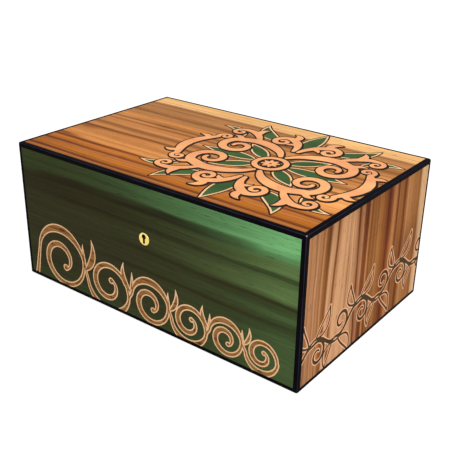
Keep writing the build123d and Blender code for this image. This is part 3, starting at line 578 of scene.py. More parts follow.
def polished_black(name):
    black = Recipe(name, Coat_Weight=0.06, Coat_Roughness=0.05, Coat_IOR=1.45, Specular_IOR_Level=0.0)
    axes = black.axes()
    depths = []
    for axis, low, high in (("X", LEFT, RIGHT), ("Y", FRONT, BACK), ("Z", FOOT, TOP)):
        off = black.math("ABSOLUTE", black.math("SUBTRACT", axes[axis], (low + high) / 2))
        depths.append(black.math("SUBTRACT", (high - low) / 2, off))
    least, most = (
        black.math(pick, black.math(pick, depths[0], depths[1]), depths[2])
        for pick in ("MINIMUM", "MAXIMUM")
    )
    total = black.math("ADD", black.math("ADD", depths[0], depths[1]), depths[2])
    between = black.math("SUBTRACT", black.math("SUBTRACT", total, least), most)
    crest_highlight_breaks = black.span(black.noise(black.place, 45.0, 3), 0.35, 0.65, 0.4, 1.0)
    crest = black.span(black.math("SUBTRACT", between, least), 0, CREST_HIGHLIGHT_WIDTH, 1, 0)
    corner = black.span(black.math("SUBTRACT", most, least), 0, CORNER_HIGHLIGHT_SIZE, 1, 0)
    cloud = black.noise(black.place, 60.0, 3)
    colour = black.two_tone(cloud, paint(2, 1, 4), paint(8, 6, 12))
    # Painted highlight: a fine bluish grey line along each crest.
    colour = black.mix(black.math("MULTIPLY", crest, crest_highlight_breaks), colour, paint(46, 44, 62))
    # Painted highlight: a near-white spot at each corner.
    colour = black.mix(corner, colour, paint(190, 194, 205))
    rough = black.vary(black.noise(black.place, 900.0, 3), 0.22, 0.32)
    return black.done(colour, rough, black.bump(cloud, 0.02 * MM))


wear(
    polished_black("polished_black"),
    "base_corner_edging", "base_foot_edging", "lid_corner_edging", "lid_top_edging",
)

# %% [markdown]
# ## Woods inside
# Inside, nothing is lacquered: bare cedar has to breathe. It is pinkish brown with a fine straight
# grain and long open pores. A picture of cedar could be wrapped round each board, but the ends
# would then show the grain of the sides. Noise that is drawn out along a board runs right through
# it. The boards under the veneer are fibreboard, seen only at the seam, where their rims are
# sealed with the black of the edging so that they take no damp.

# %% Bare cedar, with the grain along any axis
def cedar(name, along):
    wood = Recipe(name, Specular_IOR_Level=0.2)
    order = along + "XYZ".replace(along, "")
    rings = wood.noise(wood.stretched(order, 2.5, 45, 45), detail=3)
    colour = wood.ramp(rings, [
        (0.25, paint(164, 98, 62)), (0.42, paint(192, 126, 84)), (0.5, paint(176, 108, 70)),
        (0.6, paint(202, 138, 94)), (0.78, paint(182, 116, 74)),
    ])
    fibres = wood.noise(wood.stretched(order, 30, 700, 700), detail=3)
    colour = wood.shade(colour, wood.vary(fibres, 0.86, 1.08))
    pitted = wood.span(wood.noise(wood.stretched(order, 130, 1500, 1500), detail=1), 0.60, 0.70)
    colour = wood.mix(wood.math("MULTIPLY", pitted, 0.6), colour, paint(112, 60, 36))
    height = wood.math("SUBTRACT", wood.math("MULTIPLY", fibres, 0.4), pitted)
    return wood.done(colour, wood.vary(fibres, 0.62, 0.78), wood.bump(height, 0.12 * MM))


cedar_x, cedar_y = (cedar(f"cedar_along_{a.lower()}", a) for a in "XY")
wear(cedar_x, "lining_floor", "lining_long", "lid_lining_top", "lid_lining_long", "tray_long_boards")
wear(
    cedar_y, "lining_ends", "lid_lining_ends", "tray_cleats", "tray_end_boards", "tray_slats",
    "tray_divider", "base_divider",
)

# %% Fibreboard
RIM_SEAL = 0.5 * MM


def fibreboard(name):
    board = Recipe(name, Specular_IOR_Level=0.2)
    specks = board.noise(board.place, 1400.0, 4, 0.7)
    clumps = board.noise(board.place, 160.0, 3)
    browns = [(0.3, paint(120, 88, 58)), (0.5, paint(158, 122, 84)), (0.7, paint(182, 148, 108))]
    colour = board.shade(board.ramp(specks, browns), board.vary(clumps, 0.9, 1.08))
    from_seam = board.math("ABSOLUTE", board.math("SUBTRACT", board.axes()["Z"], SEAM))
    sealed = board.span(from_seam, 0.2 * MM, RIM_SEAL, 1, 0)
    colour = board.mix(sealed, colour, board.two_tone(clumps, paint(18, 15, 15), paint(32, 27, 26)))
    rough = board.span(sealed, 0, 1, 0.85, 0.38)
    relief = board.math("MULTIPLY", specks, board.span(sealed, 0, 1, 1.0, 0.12))
    return board.done(colour, rough, board.bump(relief, 0.15 * MM))


wear(
    fibreboard("fibreboard"),
    "base_bottom", "base_wall_front", "base_wall_back", "base_wall_sides",
    "lid_panel", "lid_rail_front", "lid_rail_back", "lid_rail_sides",
)

# %% [markdown]
# ## Metals
# Keyhole plate, hinges, screws and the lock's face, bolt and striker are brass, polished and then
# lightly rubbed in one direction, which spreads the reflections. The lock's case is blackened
# brass. The lid's keepers, the lock's spring and the works of the hygrometer are plain steel, and
# the magnets are nickel-plated. An image of scratches would repeat, so the rubbing is noise drawn
# out along one axis. One function mixes all the metals, because only colour and polish differ.

# %% A rubbed metal
def metal(name, light, deep, rough):
    """Two colours in faint clouds, and a roughness that varies along the rubbed lines."""
    bar = Recipe(name, Metallic=1.0)
    lines = bar.noise(bar.stretched("XYZ", 60, 700, 700), detail=3)
    cloud = bar.noise(bar.place, 70.0, 3)
    colour = bar.mix(bar.span(cloud, 0.35, 0.7), light, deep)
    rubbed = bar.vary(lines, rough * 0.75, rough * 1.25)
    roughness = bar.math("ADD", rubbed, bar.span(cloud, 0.4, 0.8, 0.0, 0.06))
    return bar.done(colour, roughness, bar.bump(lines, 0.01 * MM))


brass = metal("polished_brass", paint(238, 212, 150), paint(222, 188, 118), 0.24)
plate_brass = metal("yellow_brass", paint(244, 220, 128), paint(228, 198, 104), 0.2)
dull_brass = metal("blackened_brass", paint(64, 54, 38), paint(40, 34, 24), 0.4)
steel = metal("plain_steel", paint(200, 200, 198), paint(168, 168, 168), 0.28)
nickel = metal("nickel_plate", paint(222, 220, 214), paint(196, 194, 190), 0.2)
wear(
    brass, "lock_face", "lock_striker", "lock_bolt", "hinge_base_leaves", "hinge_lid_leaves",
    "hinge_pins", "hinge_arms", "base_screws", "lid_screws", "hygrometer_bezel",
)
wear(plate_brass, "keyhole_plate")
wear(dull_brass, "lock_case", "lock_cap", "lock_key_post")
wear(steel, "lock_spring", "steel_keepers", "hygrometer_spindle", "hygrometer_band")
wear(nickel, "magnets")

# %% [markdown]
# ## Plastics, card and glass
# The humidifier and the hygrometer's case are moulded plastic with a fine spark-eroded grain. The
# dial is printed card, the needle is enamelled and the window is clear glass. None of these needs
# more than a fine noise in its colour and its relief, so each has a short recipe of its own.

# %% Moulded black plastic
def moulded_plastic(name):
    shell = Recipe(name, Specular_IOR_Level=0.5)
    grain = shell.noise(shell.place, 2600.0, 2)
    cloud = shell.noise(shell.place, 30.0, 2)
    colour = shell.two_tone(cloud, paint(24, 24, 25), paint(33, 33, 34))
    return shell.done(colour, shell.vary(grain, 0.42, 0.56), shell.bump(grain, 0.06 * MM))


wear(moulded_plastic("moulded_black"), "humidifier_case", "humidifier_cover", "hygrometer_case")

# %% Dial card, needle and glass
def dial_card(name):
    card = Recipe(name, Specular_IOR_Level=0.3)
    fibre = card.noise(card.place, 1800.0, 3)
    colour = card.two_tone(fibre, paint(232, 226, 210), paint(242, 238, 225))
    return card.done(colour, 0.6, card.bump(fibre, 0.02 * MM))


def enamel(name, colour):
    coat = Recipe(name, Specular_IOR_Level=0.5)
    cloud = coat.noise(coat.place, 400.0, 2)
    return coat.done(coat.shade(colour, coat.vary(cloud, 0.85, 1.1)), coat.vary(cloud, 0.28, 0.36))


def clear_glass(name):
    pane = Recipe(name, Transmission_Weight=1.0, IOR=1.45, Roughness=0.0)
    pane.shader.inputs["Base Color"].default_value = paint(250, 252, 250)
    return pane.done()


wear(dial_card("dial_card"), "hygrometer_dial")
wear(enamel("needle_enamel", paint(16, 16, 18)), "hygrometer_needle")
wear(clear_glass("dial_glass"), "hygrometer_glass")

# %% Felt and foam finishes
def felt_cloth(name):
    cloth = Recipe(name, Specular_IOR_Level=0.1, Sheen_Weight=0.12, Sheen_Roughness=0.5)
    fuzz = cloth.noise(cloth.place, 1500.0, 4, 0.7)
    clump = cloth.noise(cloth.place, 120.0, 3)
    colour = cloth.two_tone(fuzz, paint(22, 44, 30), paint(44, 72, 52))
    colour = cloth.shade(colour, cloth.vary(clump, 0.85, 1.15))
    return cloth.done(colour, 0.95, cloth.bump(fuzz, 0.4 * MM))


def open_foam(name):
    foam = Recipe(name, Specular_IOR_Level=0.1)
    holes = foam.cells(foam.place, 700.0)
    # The hollows of the cells are painted darker, as the shade inside them.
    colour = foam.ramp(holes, [(0.1, paint(34, 60, 44)), (0.6, paint(74, 112, 84))])
    return foam.done(colour, 0.9, foam.bump(holes, 0.8 * MM))


# %% [markdown]
# ## Soft pieces
# Under the foot lies a sheet of felt, and in the humidifier a block of foam that holds the water.
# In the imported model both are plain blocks. Cloth simulation has nothing to do here, since the
# felt is glued flat and the foam fills its case. What is missing is soft edges and an uneven
# surface, so each is built again as a closed skin over a fine grid, rounded and pitted.

# %% Make a mesh a piece of the box
def add_piece(name, mesh, material, body):
    """Hangs a mesh in the scene in one material, riding on a body."""
    mesh.name = name
    mesh.materials.clear()
    mesh.materials.append(material)
    piece = bpy.data.objects.new(name, mesh)
    bpy.context.scene.collection.objects.link(piece)
    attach(piece, body)
    return piece


# %% A soft block in the place of a plain one
WELD = 0.01 * MM


def grid_lines(low, high, step, edge):
    """Places from low to high, close together at both ends and about a step apart between."""
    inner = np.linspace(low + edge, high - edge, max(2, round((high - low - 2 * edge) / step) + 1))
    return [low, low + edge * 0.4, *inner, high - edge * 0.4, high]


def soft_block(name, node, material, body, step, edge, pit, pit_scale):
    """A closed skin in a ready-made block's place, with round edges and shallow pits."""
    low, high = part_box(node)
    grid = [grid_lines(a, b, step, edge) for a, b in zip(low, high)]
    form = bmesh.new()
    for axis in range(3):
        first, second = (k for k in range(3) if k != axis)
        for end in (low[axis], high[axis]):
            rows = []
            for a in grid[first]:
                corners = [{axis: end, first: a, second: b} for b in grid[second]]
                rows.append([form.verts.new([c[k] for k in range(3)]) for c in corners])
            for row, above in zip(rows, rows[1:]):
                for quad in zip(row, row[1:], above[1:], above):
                    form.faces.new(quad)
    bmesh.ops.remove_doubles(form, verts=form.verts, dist=WELD)
    for vert in form.verts:
        core = Vector([min(max(c, a + edge), b - edge) for c, a, b in zip(vert.co, low, high)])
        outward = (vert.co - core).normalized()
        hollow = noise.noise(vert.co * pit_scale) * 0.5 + 0.5
        vert.co = core + outward * (edge - pit * hollow)
    bmesh.ops.recalc_face_normals(form, faces=form.faces)
    mesh = bpy.data.meshes.new(name)
    form.to_mesh(mesh)
    form.free()
    mesh.shade_smooth()
    piece = add_piece(name, mesh, material, body)
    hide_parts(node)
    print(name, len(mesh.polygons), "faces, size", [round(v / MM, 1) for v in high - low])
    return piece


# %% The felt sheet and the foam block
felt_low, felt_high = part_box("felt_pad")
felt_thick = felt_high.z - felt_low.z
felt = soft_block(
    "felt_sheet", "felt_pad", felt_cloth("felt_green"), "base",
    step=5 * MM, edge=0.49 * felt_thick, pit=0.06 * MM, pit_scale=90,
)
foam = soft_block(
    "foam_block", "humidifier_foam", open_foam("foam_green"), "lid",
    step=1.5 * MM, edge=1.2 * MM, pit=0.7 * MM, pit_scale=900,
)

# %% [markdown]
# ## Drawing the inlay
# The ornament on the box is marquetry: thin shapes of dyed wood cut to fit against each other and
# laid flush into the veneer, then lacquered over. It could be painted with an image, but then it
# would blur close up and have no edges of its own. Here it is drawn as a craftsman draws it, as
# strokes that swell and taper. Each stroke marks on a fine grid how deep every point lies inside
# it. From that one map come the shape itself, a line of even width along its rim, and its core.

# %% Soft lines through a few points
def smooth(points, step=1.5):
    """Points close together on a soft line through the given (x, y, half width) points."""
    p = np.array(points, float)
    p = np.vstack([2 * p[0] - p[1], p, 2 * p[-1] - p[-2]])
    line = []
    for a, b, c, d in zip(p, p[1:], p[2:], p[3:]):
        count = max(2, int(np.hypot(*(c - b)[:2]) / step))
        for t in np.linspace(0, 1, count, endpoint=False):
            bend = (2 * a - 5 * b + 4 * c - d) * t**2 + (3 * b - a - 3 * c + d) * t**3
            line.append(0.5 * (2 * b + (c - a) * t + bend))
    line.append(p[-2])
    return np.array(line)


# %% A face to draw on
# All in mm: a square of the grid, how far outside lies a point that no stroke is near, how far
# round a stroke the map is filled in, how far a shape cut off by the edging runs on past the
# edging's line, and a length too small to divide by.
CELL = 0.5
FAR = 50.0
REACH = 4
TUCK = 0.13
TINY = 1e-9


class Drawing:
    """Ornament on a face: how deep each grid point lies inside the nearest stroke, in mm."""

    def __init__(self, wide, tall, rim):
        across, upward = np.arange(0, wide + CELL, CELL), np.arange(0, tall + CELL, CELL)
        self.x, self.y = np.meshgrid(across, upward)
        self.depth = np.full(self.x.shape, -FAR)
        sides = (self.x - rim, wide - rim - self.x, self.y - rim, tall - rim - self.y)
        self.room = np.minimum.reduce(sides) + TUCK

    def lay(self, line):
        """Adds one stroke with round ends along a line of (x, y, half width) points."""
        for (ax, ay, ar), (bx, by, br) in zip(line, line[1:]):
            reach = max(ar, br) + REACH
            cols = [max(int(v / CELL), 0) for v in (min(ax, bx) - reach, max(ax, bx) + reach)]
            rows = [max(int(v / CELL), 0) for v in (min(ay, by) - reach, max(ay, by) + reach)]
            here = (slice(*rows), slice(*cols))
            x, y = self.x[here] - ax, self.y[here] - ay
            dx, dy = bx - ax, by - ay
            t = np.clip((x * dx + y * dy) / max(dx * dx + dy * dy, TINY), 0, 1)
            inside = ar + t * (br - ar) - np.hypot(x - t * dx, y - t * dy)
            self.depth[here] = np.maximum(self.depth[here], inside)

    def outlines(self, depth):
        """Closed lines round where a map of depths is above nothing, inside the edging."""
        return cut_lines(self.x, self.y, np.minimum(depth, self.room))


# %% From the map to cut lines
# By which sides a line enters and leaves a square of the grid, for each set of corners inside.
MARCH = {
    1: "BL", 2: "RB", 3: "RL", 4: "TR", 5: "BLTR", 6: "TB", 7: "TL",
    8: "LT", 9: "BT", 10: "RBLT", 11: "RT", 12: "LR", 13: "BR", 14: "LB",
}
CRUMB = 8


def cut_lines(x, y, depth):
    """Closed lines where the depth passes 0, found by walking through the grid's squares. A line
    with no more points than a crumb is left out."""
    inside = depth > 0
    code = inside[:-1, :-1] + 2 * inside[:-1, 1:] + 4 * inside[1:, 1:] + 8 * inside[1:, :-1]
    after = {}
    for row, col in zip(*np.nonzero((code > 0) & (code < 15))):
        sides = {"B": (row, col, 0), "T": (row + 1, col, 0), "L": (row, col, 1), "R": (row, col + 1, 1)}
        walk = MARCH[int(code[row, col])]
        for start, end in zip(walk[::2], walk[1::2]):
            after[sides[start]] = sides[end]
    loops = []
    while after:
        start, here = after.popitem()
        loop = [start]
        while here != start:
            loop.append(here)
            here = after.pop(here)
        points = []
        for row, col, upright in loop:
            a, b = depth[row, col], depth[row + upright, col + 1 - upright]
            t = a / (a - b) * CELL
            points.append((x[row, col] + t * (1 - upright), y[row, col] + t * upright))
        if len(points) > CRUMB:
            loops.append(thinned(np.array(points)))
    return loops


def thinned(loop, slack=0.04):
    """The loop without the points that lie on the line between their neighbours."""
    closed = np.vstack([loop, loop[:1]])
    half, last = len(loop) // 2, len(loop)
    kept = {0, half}
    todo = [(0, half), (half, last)]
    while todo:
        a, b = todo.pop()
        if b - a < 2:
            continue
        way, off = closed[b] - closed[a], closed[a + 1:b] - closed[a]
        far = np.abs(off[:, 0] * way[1] - off[:, 1] * way[0]) / max(np.hypot(*way), TINY)
        worst = a + 1 + int(far.argmax())
        if far.max() > slack:
            kept.add(worst)
            todo += [(a, worst), (worst, b)]
    return closed[sorted(kept)]


# %% Curls and leaves, the two words of this ornament
# How far along its swell a leaf starts, which gives it a neck, and half its width at the tip, in mm.
LEAF_NECK = 0.08
LEAF_TIP = 0.25


def curl(x, y, start_r, end_r, start, turns, half, end_half, count=40, swell=0.0):
    """A spiral about a middle from one radius in to another. Turns below 0 go clockwise."""
    points = []
    for i in range(count + 1):
        t = i / count
        r = start_r * (end_r / start_r) ** t
        a = start + turns * math.tau * t
        wide = half + (end_half - half) * t + swell * math.sin(math.pi * t)
        points.append((x + r * math.cos(a), y + r * math.sin(a), wide))
    return points


def leaf(base, tip, bow, fat, count=24):
    """A leaf from base to tip, bowed sideways, fattest nearer its base."""
    (bx, by), (tx, ty) = base, tip
    points = []
    for i in range(count + 1):
        t = i / count
        off = bow * 4 * t * (1 - t)
        half = fat * math.sin(math.pi * min(1, LEAF_NECK + (1 - LEAF_NECK) * t) ** 0.8) + LEAF_TIP
        points.append((bx + (tx - bx) * t - (ty - by) * off, by + (ty - by) * t + (tx - bx) * off, half))
    return points


# %% Where a drawing lies on the box
def face(corner, across, upward):
    """Takes a drawing's x, y and height above the face, in mm, to its place on the box."""
    out = Vector(across).cross(Vector(upward))
    turn = Matrix((across, upward, out)).transposed().to_4x4()
    return Matrix.Translation(corner) @ turn @ Matrix.Scale(MM, 4)


front_face = face((LEFT, FRONT, FOOT), (1, 0, 0), (0, 0, 1))
right_face = face((RIGHT, FRONT, FOOT), (0, 1, 0), (0, 0, 1))
top_face = face((LEFT, FRONT, TOP), (1, 0, 0), (0, 1, 0))


# %% Cutting and laying a piece of marquetry
# Heights in mm above a face's outermost plane: the veneer, the highest inlay, and the step between
# one wood and the next, so that no two on a face share a plane. Points nearer to each other than
# SAME_POINT become one.
VENEER = -0.1
HIGHEST = -0.04
STEP_DOWN = 0.005
SAME_POINT = 0.004


def marquetry(name, loops, where, low, high, material, body):
    """Thin flat pieces cut along closed lines, lying between two heights above a face, in mm."""
    line = bpy.data.curves.new(name, "CURVE")
    line.dimensions, line.fill_mode, line.extrude = "2D", "BOTH", (high - low) / 2
    for loop in loops:
        spline = line.splines.new("POLY")
        spline.points.add(len(loop) - 1)
        spline.use_cyclic_u = True
        flat = np.column_stack([loop, np.zeros(len(loop)), np.ones(len(loop))])
        spline.points.foreach_set("co", flat.ravel())
    cut = bpy.data.objects.new(name, line)
    mesh = bpy.data.meshes.new_from_object(cut)
    bpy.data.objects.remove(cut)
    mesh.transform(Matrix.Translation((0, 0, (high + low) / 2)))
    form = bmesh.new()
    form.from_mesh(mesh)
    bmesh.ops.remove_doubles(form, verts=form.verts, dist=SAME_POINT)
    form.transform(where)
    open_edges = sum(not e.is_manifold for e in form.edges)
    form.to_mesh(mesh)
    form.free()
    add_piece(name, mesh, material, body)
    print(name, len(loops), "cut lines,", len(mesh.polygons), "faces, open edges", open_edges)


def inlay(name, loops, where, steps, wood, body):
    """A shape of wood let into the lacquer over the veneer, so many steps under the highest."""
    high = HIGHEST - steps * STEP_DOWN
    marquetry(name, loops, where, VENEER, high, wood, body)


# %% Finishes of the inlaid woods
def inlay_wood(name, light, deep, along, seed, flecks=0.3):
    """A dyed veneer for small shapes: fine fibres, faint clouds and dark flecks under the lacquer."""
    wood = Recipe(name, **COAT)
    fibre, speck = (
        wood.stretched("XYZ", *[long if a == along else close for a in "XYZ"])
        for long, close in ((14, 420), (90, 900))
    )
    fibres = wood.noise(fibre, 1.0, 4, 0.6)
    cloud = wood.noise(wood.place, 26.0 + seed, 2)
    colour = wood.shade(wood.mix(wood.vary(cloud, 0, 1), light, deep), wood.vary(fibres, 0.93, 1.06))
    fleck = wood.span(wood.noise(speck, 1.0, 1), 0.66, 0.72, 0, flecks)
    colour = wood.mix(fleck, colour, STREAK)
    return wood.done(colour, 0.5, wood.bump(fibres, 0.01 * MM))


def smoked_wood(name):
    """The streaked brown core of the front's strokes, with dark spots along the grain."""
    wood = Recipe(name, **COAT)
    axes = wood.axes()
    run, cross = axes["X"], axes["Z"]
    bands = wood.grain(run, cross, 14, 170, 3.0)
    colour = wood.ramp(bands, [
        (0.3, paint(96, 56, 22)), (0.42, paint(138, 93, 46)), (0.52, paint(164, 119, 70)),
        (0.6, paint(140, 95, 48)), (0.75, paint(178, 132, 82)),
    ])
    spots = wood.span(wood.grain(run, cross, 90, 220, 9.0, 2), 0.60, 0.66, 0, 0.8)
    colour = wood.mix(spots, colour, paint(70, 35, 20))
    return wood.done(colour, 0.5, wood.bump(bands, 0.01 * MM))


peach = inlay_wood("inlay_peach", paint(253, 206, 158), paint(242, 188, 140), "X", 0.0, 0.15)
salmon = inlay_wood("inlay_salmon", paint(253, 182, 120), paint(234, 158, 108), "X", 2.0)
bog_black = inlay_wood("inlay_bog_black", paint(42, 26, 16), paint(28, 17, 11), "X", 3.0)
leaf_green = inlay_wood("inlay_leaf_green", paint(68, 102, 54), paint(50, 80, 40), "X", 5.0)
olive = inlay_wood("inlay_olive", paint(80, 62, 36), paint(62, 48, 26), "Z", 6.0)
rose = inlay_wood("inlay_rose", paint(248, 190, 146), paint(234, 170, 128), "Z", 7.0, 0.15)
smoked = smoked_wood("inlay_smoked_brown")
print("inlay woods", [wood.name for wood in (peach, salmon, bog_black, leaf_green, olive, rose, smoked)])

# %% [markdown]
# ## The vine on the front
# A running scroll grows along the foot of the green front and is cut off by the edging, as if the
# box had been sawn from a longer panel. Its stem swings over one curl and under the next.
# Each bend throws a spiral that ends in a round bud, and the curls get smaller to the right.
# A modifier could array one curl, but then all would be alike, so a loop draws each to its size.

# %% Draw the running scroll
RIM = 5.0
RIM_LINE = 1.45
VINE_TURNS = 1.2
vine = Drawing(WIDE, TALL, RIM)
curls = [(59, 36, 38), (133, 29, 32), (195, 28, 26.5), (248, 26, 23.5), (295, 26, 20.5), (338, 25, 19)]
stem = [(9, -10, 3.6), (14, 8, 3.2)]
for i, (x, y, r) in enumerate(curls):
    way = -1 if i % 2 == 0 else 1
    thick = 5.4 - 0.35 * i
    for a in np.linspace(math.pi * 0.96, math.pi * 0.04, 13):
        half = 2.2 + (thick - 2.2) * math.sin(a) ** 2
        stem.append((x + r * math.cos(a), y - way * r * math.sin(a), half))
    start = -way * 0.1 * math.pi
    vine.lay(smooth(curl(x, y, r, r * 0.33, start, way * VINE_TURNS, 2.1, 1.7, 30, thick * 0.42)))
    end = start + way * VINE_TURNS * math.tau
    bud = (x + r * 0.27 * math.cos(end), y + r * 0.27 * math.sin(end), r * 0.08 + 1.3)
    vine.lay([bud, (bud[0] + 0.1, bud[1], bud[2])])
vine.lay(smooth(stem))
for i, ((x, y, r), (x2, y2, r2)) in enumerate(zip(curls, curls[1:])):
    gap, mid, up = (x + r + x2 - r2) / 2, (y + y2) / 2, (r + r2) / 2
    way = 1 if i % 2 == 0 else -1
    for aside, rise, bow, fat in ((9, 1.25, -0.16, 0.13), (-3, 0.98, 0.05, 0.07)):
        tip = (gap + way * aside * up / 30, mid + up * rise)
        vine.lay(leaf((gap, mid + 4), tip, way * bow, up * fat, 40))
print("vine drawn, deepest", round(float(vine.depth.max()), 1), "mm")

# %% Cut and lay the vine
rim = np.minimum(vine.depth, RIM_LINE - vine.depth)
inlay("front_vine_rim", vine.outlines(rim), front_face, 0, peach, "base")
inlay("front_vine_core", vine.outlines(vine.depth - RIM_LINE), front_face, 2, smoked, "base")

# %% [markdown]
# ## The arabesque on the lid
# The lid carries the richest piece: salmon straps with black outlines, set off by green leaves
# with peach rims. One quarter is drawn and mirrored both ways about its middle, which is how such
# a pattern is made at the bench too: four sheets are stacked and sawn at once.

# %% Draw one quarter, lay four
MIDDLE = (256, 124)
RING = 17
PETALS = 8
straps, leaves = Drawing(WIDE, DEEP, RIM), Drawing(WIDE, DEEP, RIM)


def four(drawing, line, across=True, along=True):
    """Lays a line and its mirror images about the pattern's middle."""
    for sx in ((1, -1) if across else (1,)):
        for sy in ((1, -1) if along else (1,)):
            drawing.lay([(MIDDLE[0] + sx * x, MIDDLE[1] + sy * y, h) for x, y, h in line])


ring = [(RING * math.cos(a), RING * math.sin(a), 3.0) for a in np.linspace(0, math.tau, 48)]
four(straps, ring, False, False)
for k in range(PETALS):
    a = (k + 0.5) * math.tau / PETALS
    heart, tip = ((r * math.cos(a), r * math.sin(a)) for r in (2.5, 10.5))
    four(straps, leaf(heart, tip, 0, 2.1), False, False)
great = [(4, 25, 2.6), (14, 37, 4.6), (32, 47, 6.6), (52, 50, 6.8), (70, 44, 6.0)]
four(straps, smooth(great + curl(60, 24, 24, 6.5, 0.36 * math.pi, -1.2, 5.4, 2.2, 28)))
side = [(111, 0, 6.2), (109, 13, 5.8), (104, 25, 4.6), (98, 36, 3.2)]
four(straps, smooth(side + curl(91, 42, 9.0, 2.4, -0.12 * math.pi, 1.1, 2.7, 1.6, 22)))
crest = [(3, 48, 2.2), (6, 60, 3.6), (14, 73, 4.8), (26, 81, 4.6)]
four(straps, smooth(crest + curl(30, 68, 13.0, 3.4, 0.45 * math.pi, -1.15, 3.8, 1.7, 24)))
wing = [(52, 54, 2.6), (62, 66, 4.0), (75, 75, 4.2), (86, 76, 3.4)]
four(straps, smooth(wing + curl(88, 66, 10.0, 2.8, 0.52 * math.pi, -1.1, 3.0, 1.5, 22)))
for base, tip, bow, fat in (
    ((64, 68), (63, 90), -0.2, 4.2), ((22, 80), (31, 97), 0.25, 4.2), ((104, 26), (119, 31), 0.2, 3.4),
    ((72, 43), (86, 52), 0.25, 3.2), ((10, 66), (21, 60), 0.2, 2.6),
):
    four(straps, leaf(base, tip, bow, fat))
four(leaves, leaf((0, 56), (0, 118), 0, 10.5, 90), False, True)
four(leaves, leaf((24, 0), (90, 0), 0, 9.0, 90), True, False)
four(leaves, leaf((16, 12), (52, 40), 0.0, 8.5, 70))
four(leaves, leaf((38, 68), (74, 106), -0.14, 9.0, 80))
four(leaves, leaf((78, 56), (116, 74), 0.16, 6.0, 60))
print("lid drawn, deepest", [round(float(d.depth.max()), 1) for d in (straps, leaves)], "mm")

# %% Part the lid's shapes from each other
# Widths in mm, but the heavy side of an outline is counted in squares of the grid.
OUTLINE = 1.7
LEAF_RIM = 1.9
HEAVY_SQUARES = 4
heavy = straps.depth
for squares in range(1, HEAVY_SQUARES + 1):
    heavy = np.maximum(heavy, np.roll(straps.depth, (-squares, squares), (0, 1)))
heavy = heavy + OUTLINE
strap_line = np.minimum(heavy, -straps.depth)
leaf_line = np.minimum(np.minimum(leaves.depth + OUTLINE, -leaves.depth), -heavy)
leaf_rim = np.minimum(np.minimum(leaves.depth, LEAF_RIM - leaves.depth), -heavy)
leaf_core = np.minimum(leaves.depth - LEAF_RIM, -heavy)
for name, depth, steps, wood in (
    ("lid_leaf_outline", leaf_line, 4, bog_black),
    ("lid_leaf_rim", leaf_rim, 2, peach),
    ("lid_leaf_core", leaf_core, 3, leaf_green),
    ("lid_strap_outline", strap_line, 1, bog_black),
    ("lid_strap", straps.depth, 0, salmon),
):
    inlay(name, straps.outlines(depth), top_face, steps, wood, "lid")

# %% [markdown]
# ## The tendril on the right side
# The side has a lighter hand: a thin climbing vine, only its contour inlaid, a dark olive line
# between two pale ones, so that the streaked wood shows through it. The strokes could be swept
# along curves, but where they cross, swept strips would lie in each other. On the map of depths
# crossing strokes melt into one, and the dark line keeps its even distance from every edge.

# %% The tendril's stem and leaves
# In mm: the length, start and swing of the stem's waves, and the height that it starts from.
WAVE, WAVE_START, SWING = 84, 4, 12
STEM_FOOT = 32
STEM_SLOPE = 0.1
LEAF_STEPS = 12


def climb(u):
    """Height of the vine's stem at a distance from the front edge."""
    return STEM_FOOT + STEM_SLOPE * u + SWING * math.sin(math.tau * (u - WAVE_START) / WAVE)


def leaf_edge(base, tip, bow, fat, half=2.3):
    """The two edges of a leaf as lines of their own, to inlay its contour alone."""
    (bx, by), (tx, ty) = base, tip
    long = math.hypot(tx - bx, ty - by)
    nx, ny = -(ty - by) / long, (tx - bx) / long
    sides = []
    for side in (1, -1):
        line = []
        for i in range(LEAF_STEPS + 1):
            t = i / LEAF_STEPS
            off = bow * 4 * t * (1 - t) * long + side * fat * math.sin(math.pi * t ** 0.85)
            line.append((bx + (tx - bx) * t + nx * off, by + (ty - by) * t + ny * off, half))
        sides.append(line)
    return sides


# %% Draw and lay the tendril
TENDRIL_RIM = 1.2
tendril = Drawing(DEEP, TALL, RIM)
stem = []
for u in np.arange(-6, 258, 3):
    half = 2.3 + 0.8 * abs(math.cos(math.tau * (u - WAVE_START) / WAVE))
    stem.append((u, climb(u), half))
tendril.lay(smooth(stem))
for k in range(6):
    u = WAVE_START + WAVE * (0.25 + 0.5 * k)
    side = 1 if k % 2 == 0 else -1
    x, y = u + 7, climb(u) - side * 19.0
    tendril.lay(smooth(
        [(u - 22, climb(u - 22), 2.2), (u - 11, climb(u - 11) - side * 1.5, 2.6)]
        + curl(x, y, 16.5, 4.5, side * 0.66 * math.pi, -side * 1.2, 2.8, 2.1, 30, 0.5)
    ))
    for base, tip, bow, fat in (
        ((u + 3, climb(u + 3)), (u + 26, climb(u) + side * 26), -side * 0.16, 6.2),
        ((u - 9, climb(u - 9)), (u - 20, climb(u) + side * 23), side * 0.18, 5.4),
    ):
        for line in leaf_edge(base, tip, bow, fat):
            tendril.lay(smooth(line))
pale = tendril.outlines(np.minimum(tendril.depth, TENDRIL_RIM - tendril.depth))
inlay("side_tendril_pale", pale, right_face, 0, rose, "base")
dark = tendril.outlines(tendril.depth - TENDRIL_RIM)
inlay("side_tendril_dark", dark, right_face, 2, olive, "base")

# %% [markdown]
# ## Printing the dial
# The hygrometer's dial is printed card: a ring of fine marks, numbers from 0 to 100 and a green
# stretch where a humidor should be kept. Print has no thickness to speak of, but a picture of it
# would blur close up. So the marks are cut like the inlay, a few hundredths of a millimetre
# thick, and the numbers are Blender's own text turned into a mesh.

# %% Marks round the dial
dial_low, dial_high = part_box("hygrometer_dial")
DIAL_PLACE = Vector(((dial_low.x + dial_high.x) / 2, (dial_low.y + dial_high.y) / 2, dial_low.z))
DIAL_SWEEP = math.radians(270)
dial_face = face(DIAL_PLACE, (1, 0, 0), (0, -1, 0))

